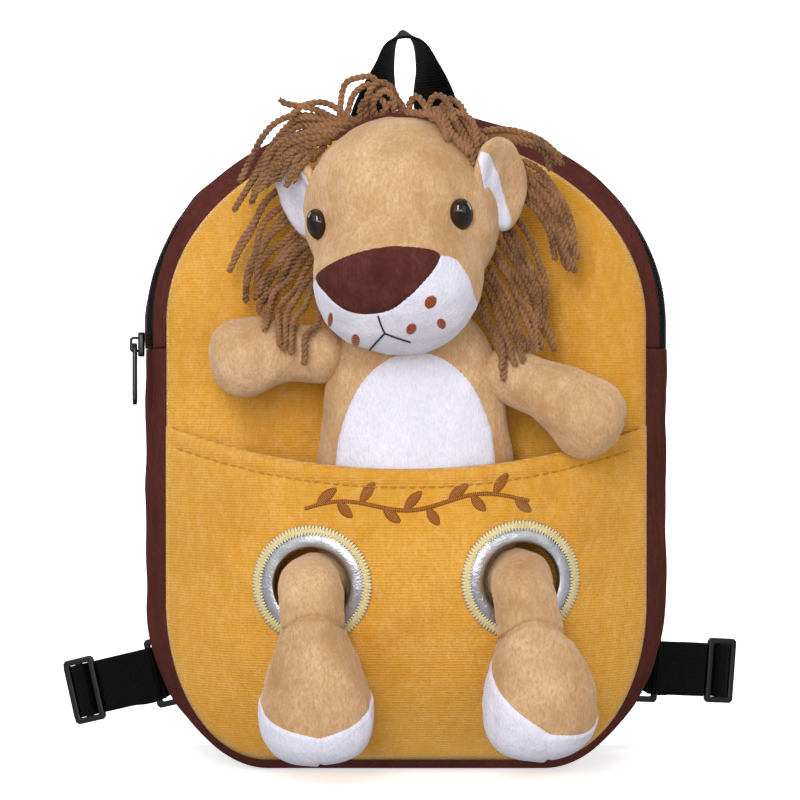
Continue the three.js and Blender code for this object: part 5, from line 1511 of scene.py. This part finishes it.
# Loops and loose strands on the crown, each from root to tip
TOP_LOOPS = [
    [(-28, -99, 281), (-26, -99, 294), (-20, -101, 297), (-14, -100, 297), (-10, -100, 291)],
    [(-25, -99, 281), (-22, -101, 290), (-16, -102, 294), (-11, -100, 291)],
    [(-16, -100, 278), (-17, -103, 287), (-13, -105, 294), (-8, -103, 294), (-4, -101, 289), (-2, -101, 278)],
    [(-12, -102, 278), (-14, -106, 286), (-9, -107, 291), (-5, -105, 287), (-6, -103, 279)],
    [(-10, -100, 278), (-8, -103, 285), (-3, -104, 287), (0, -101, 280)],
    [(-17, -98, 279), (-13, -98, 289), (-7, -98, 292), (-2, -98, 285)],
    [(-19, -99, 278), (-19, -102, 285), (-14, -104, 289), (-9, -104, 286), (-8, -103, 279)],
    [(2, -102, 279), (1, -103, 285), (4, -105, 289), (8, -108, 284), (11, -112, 277)],
    [(7, -101, 279), (11, -101, 289), (16, -104, 288), (19, -108, 282), (22, -113, 273)],
    [(12, -99, 279), (17, -98, 288), (22, -101, 286), (25, -105, 280)],
    [(-24, -99, 277), (-36, -101, 283), (-44, -102, 285), (-50, -102, 286), (-53, -102, 288)],
    [(-21, -99, 278), (-32, -101, 286), (-41, -102, 286), (-46, -102, 283), (-49, -101, 280)],
]


def clear_of(surface, path, room):
    """Lifts a strand's points off whatever they would cut into."""
    for _ in range(2):
        for number, spot in enumerate(path):
            nearest, normal, _, _ = surface.find_nearest(Vector(spot) * MM)
            away = (Vector(spot) * MM - nearest).dot(normal)
            if away < room * MM and (Vector(spot) * MM - nearest).length < 14 * MM:
                path[number] = np.array(nearest + normal * room * MM) / MM
        path[1:-1] = (path[:-2] + 2 * path[1:-1] + path[2:]) / 4
    return path


def mane_strands(count, guides, dice):
    """Strands between given guides, each a little off its place, its length and its bend."""
    rows = np.asarray(guides, float)
    strands = []
    for number in range(count):
        share = (number + dice.uniform(0.15, 0.85)) / count
        stops = through(rows.reshape(len(rows), -1), np.array([share])).reshape(-1, 3)
        loose = np.linspace(0.6, 1, len(stops))[:, None] * np.array([2.2, 1.6, 2.4])
        stops = stops + dice.normal(0, 0.75, stops.shape) * loose
        stops[1:] = stops[0] + (stops[1:] - stops[0]) * dice.uniform(0.84, 1.06)
        path = through(stops, np.linspace(0, 1, 30))
        waves = np.linspace(0, 1, 30)[:, None] * dice.uniform(9, 15)
        path = path + 0.5 * np.sin(waves + dice.uniform(0, 6, 3))
        strands.append(path)
    return strands


def yarn_plies(path, dice):
    """Two plies wound round each other along a strand."""
    reach = lengths(path)
    count = max(int(reach[-1] / 0.75), 8)
    where = np.linspace(0, reach[-1], count)
    line = np.stack([np.interp(where, reach, path[:, k]) for k in range(3)], -1)
    way = unit(np.gradient(line, axis=0))
    side = np.zeros_like(line)
    held = np.cross(way[0], [0.2, 0.9, 0.3])
    for row in range(count):
        held = held - way[row] * (held @ way[row])
        held = held / max(np.linalg.norm(held), 1e-9)
        side[row] = held
    other = np.cross(way, side)
    start = dice.uniform(0, 2 * math.pi)
    ends = np.minimum(1, np.minimum(where + 1.2, reach[-1] - where + 1.2) / 2.4)
    thick = ends * (1 + YARN_CRIMP * np.sin(where / YARN_PITCH * 4 * math.pi + dice.uniform(0, 6)))
    plies = []
    for ply in (0, math.pi):
        turn = (where / YARN_PITCH * 2 * math.pi + start + ply)[:, None]
        plies.append(line + (side * np.cos(turn) + other * np.sin(turn)) * YARN_OFFSET)
    return plies, thick


def make_mane():
    dice = np.random.default_rng(7)
    round_mane = surface_of(
        "head_velour", "ear_left_velour", "ear_right_velour", "arm_left_velour", "arm_right_velour",
        "body_velour", "front_velour")
    bundles = {name: mane_strands(count, guides, dice) for name, (count, guides) in MANE_BUNDLES.items()}
    bundles["top"] = [through(loop, np.linspace(0, 1, 30)) for loop in TOP_LOOPS]
    for number, (name, paths) in enumerate(bundles.items()):
        plies, tapers = [], []
        for path in paths:
            pair, thick = yarn_plies(clear_of(round_mane, path, YARN_CLEARANCE), dice)
            plies += pair
            tapers += [thick, thick]
        threads(f"mane_{name}_yarn", plies, YARN_PLY, YARN, sides=6, tapers=tapers,
                replaced=["mane"] if number == 0 else ())


# Scene


def make_stage():
    """A pale floor that curves up into a wall all round."""
    mesh = bmesh.new()
    turn = np.linspace(0, math.pi / 2, 16)
    wall = FLOOR_REACH + WALL_CURVE
    run = np.concatenate([[0.001, 900, 1800], FLOOR_REACH + WALL_CURVE * np.sin(turn), [wall]])
    rise = np.concatenate([[0, 0, 0], WALL_CURVE * (1 - np.cos(turn)), [WALL_HEIGHT]])
    verts = [mesh.verts.new((out * MM, 0, up * MM)) for out, up in zip(run, rise)]
    edges = [mesh.edges.new(pair) for pair in zip(verts, verts[1:])]
    bmesh.ops.spin(mesh, geom=verts + edges, axis=(0, 0, 1), cent=(0, 0, 0), angle=2 * math.pi, steps=72,
                   use_merge=True)
    bmesh.ops.remove_doubles(mesh, verts=mesh.verts, dist=0.1 * MM)
    face_outwards(mesh, (0, 0, -2000))
    made, tree = bare("pale_backdrop")
    place = add(tree, "TexCoord", {}).outputs["Object"]
    paper = add(tree, "TexNoise", {"Vector": place, "Scale": 4.0, "Detail": 2.0})
    shade = add(tree, "Mix", {0: paper.outputs[0], 6: linear("#F4F4F6"), 7: linear("#FAFAFB")},
                data_type="RGBA")
    shader = add(tree, "BsdfPrincipled", {"Base Color": shade.outputs[2], "Roughness": 0.9,
                                          "Specular IOR Level": 0.1, "Emission Color": linear("#FFFFFF"),
                                          "Emission Strength": 0.62})
    add(tree, "OutputMaterial", {"Surface": shader.outputs[0]})
    data = bpy.data.meshes.new("backdrop")
    mesh.to_mesh(data)
    mesh.free()
    data.materials.append(made)
    data.polygons.foreach_set("use_smooth", [True] * len(data.polygons))
    backdrop = bpy.data.objects.new("backdrop", data)
    # The paper glows as if lit from behind, and its glow isn't thrown back on the bag
    backdrop.visible_diffuse = False
    backdrop.visible_glossy = False
    bpy.context.scene.collection.objects.link(backdrop)


def light(name, place, aim, size, power):
    """A soft box in metres and watts, which the camera doesn't see."""
    data = bpy.data.lights.new(name, "AREA")
    data.shape = "RECTANGLE"
    data.size, data.size_y = size
    data.energy = power
    lamp = bpy.data.objects.new(name, data)
    lamp.visible_camera = False
    lamp.location = place
    lamp.rotation_euler = (Vector(aim) - Vector(place)).to_track_quat("-Z", "Y").to_euler()
    bpy.context.scene.collection.objects.link(lamp)


def make_lights():
    aim = (0, 0, 0.15)
    light("key", (-0.14, -1.0, 0.46), aim, (0.26, 0.55), 5.8)
    light("soft_left", (-1.1, -1.2, 0.5), aim, (1.0, 1.2), 3.2)
    light("soft_right", (1.2, -1.2, 0.35), aim, (1.0, 1.2), 3.0)
    light("low_fill", (0.1, -1.3, 0.08), (0, 0, 0.05), (1.4, 0.2), 3.6)
    light("top", (0, 0.2, 2.0), aim, (1.6, 1.6), 4.5)
    light("left_rim", (-1.5, 0.7, 0.9), aim, (0.8, 0.8), 6)
    light("right_rim", (1.5, 0.8, 0.9), aim, (0.8, 0.8), 6)
    light("wall", (0, 1.4, 2.4), (0, 3.0, 0.5), (2.4, 1.0), 60)
    world = bpy.data.worlds.new("studio")
    bpy.context.scene.world = world
    world.use_nodes = True
    world.node_tree.nodes["Background"].inputs[0].default_value = (1.0, 1.0, 1.0, 1.0)
    world.node_tree.nodes["Background"].inputs[1].default_value = 0.42
    bpy.context.scene.view_settings.view_transform = "Standard"


def make_camera():
    target = Vector((-0.0027, 0.0, 0.162))
    lift = math.radians(0.5)
    data = bpy.data.cameras.new("camera")
    data.lens = 124.2
    data.sensor_width = 36.0
    camera = bpy.data.objects.new("camera", data)
    camera.location = target + Vector((0, -math.cos(lift), math.sin(lift))) * 1.25
    camera.rotation_euler = (target - camera.location).to_track_quat("-Z", "Y").to_euler()
    bpy.context.scene.collection.objects.link(camera)
    bpy.context.scene.camera = camera


make_panels()
make_gusset()
make_zip()
make_pocket()
make_hole_rings()
POCKET_SURFACE = surface_of("pocket_velour")
make_hem_stitches()
make_twig()
make_handle()
make_straps()
refined("zip_slider", LACQUER, 0.25)
refined("zip_pull", LACQUER, 0.25, body="zip_pull")
make_shoulder_pads()
make_lion_body()
make_head()
make_eyes()
make_ears()
HEAD_SURFACE = surface_of("head_velour", "muzzle_velour", "nose_velour")
make_face_threads()
make_mane()
make_stage()
make_lights()
make_camera()
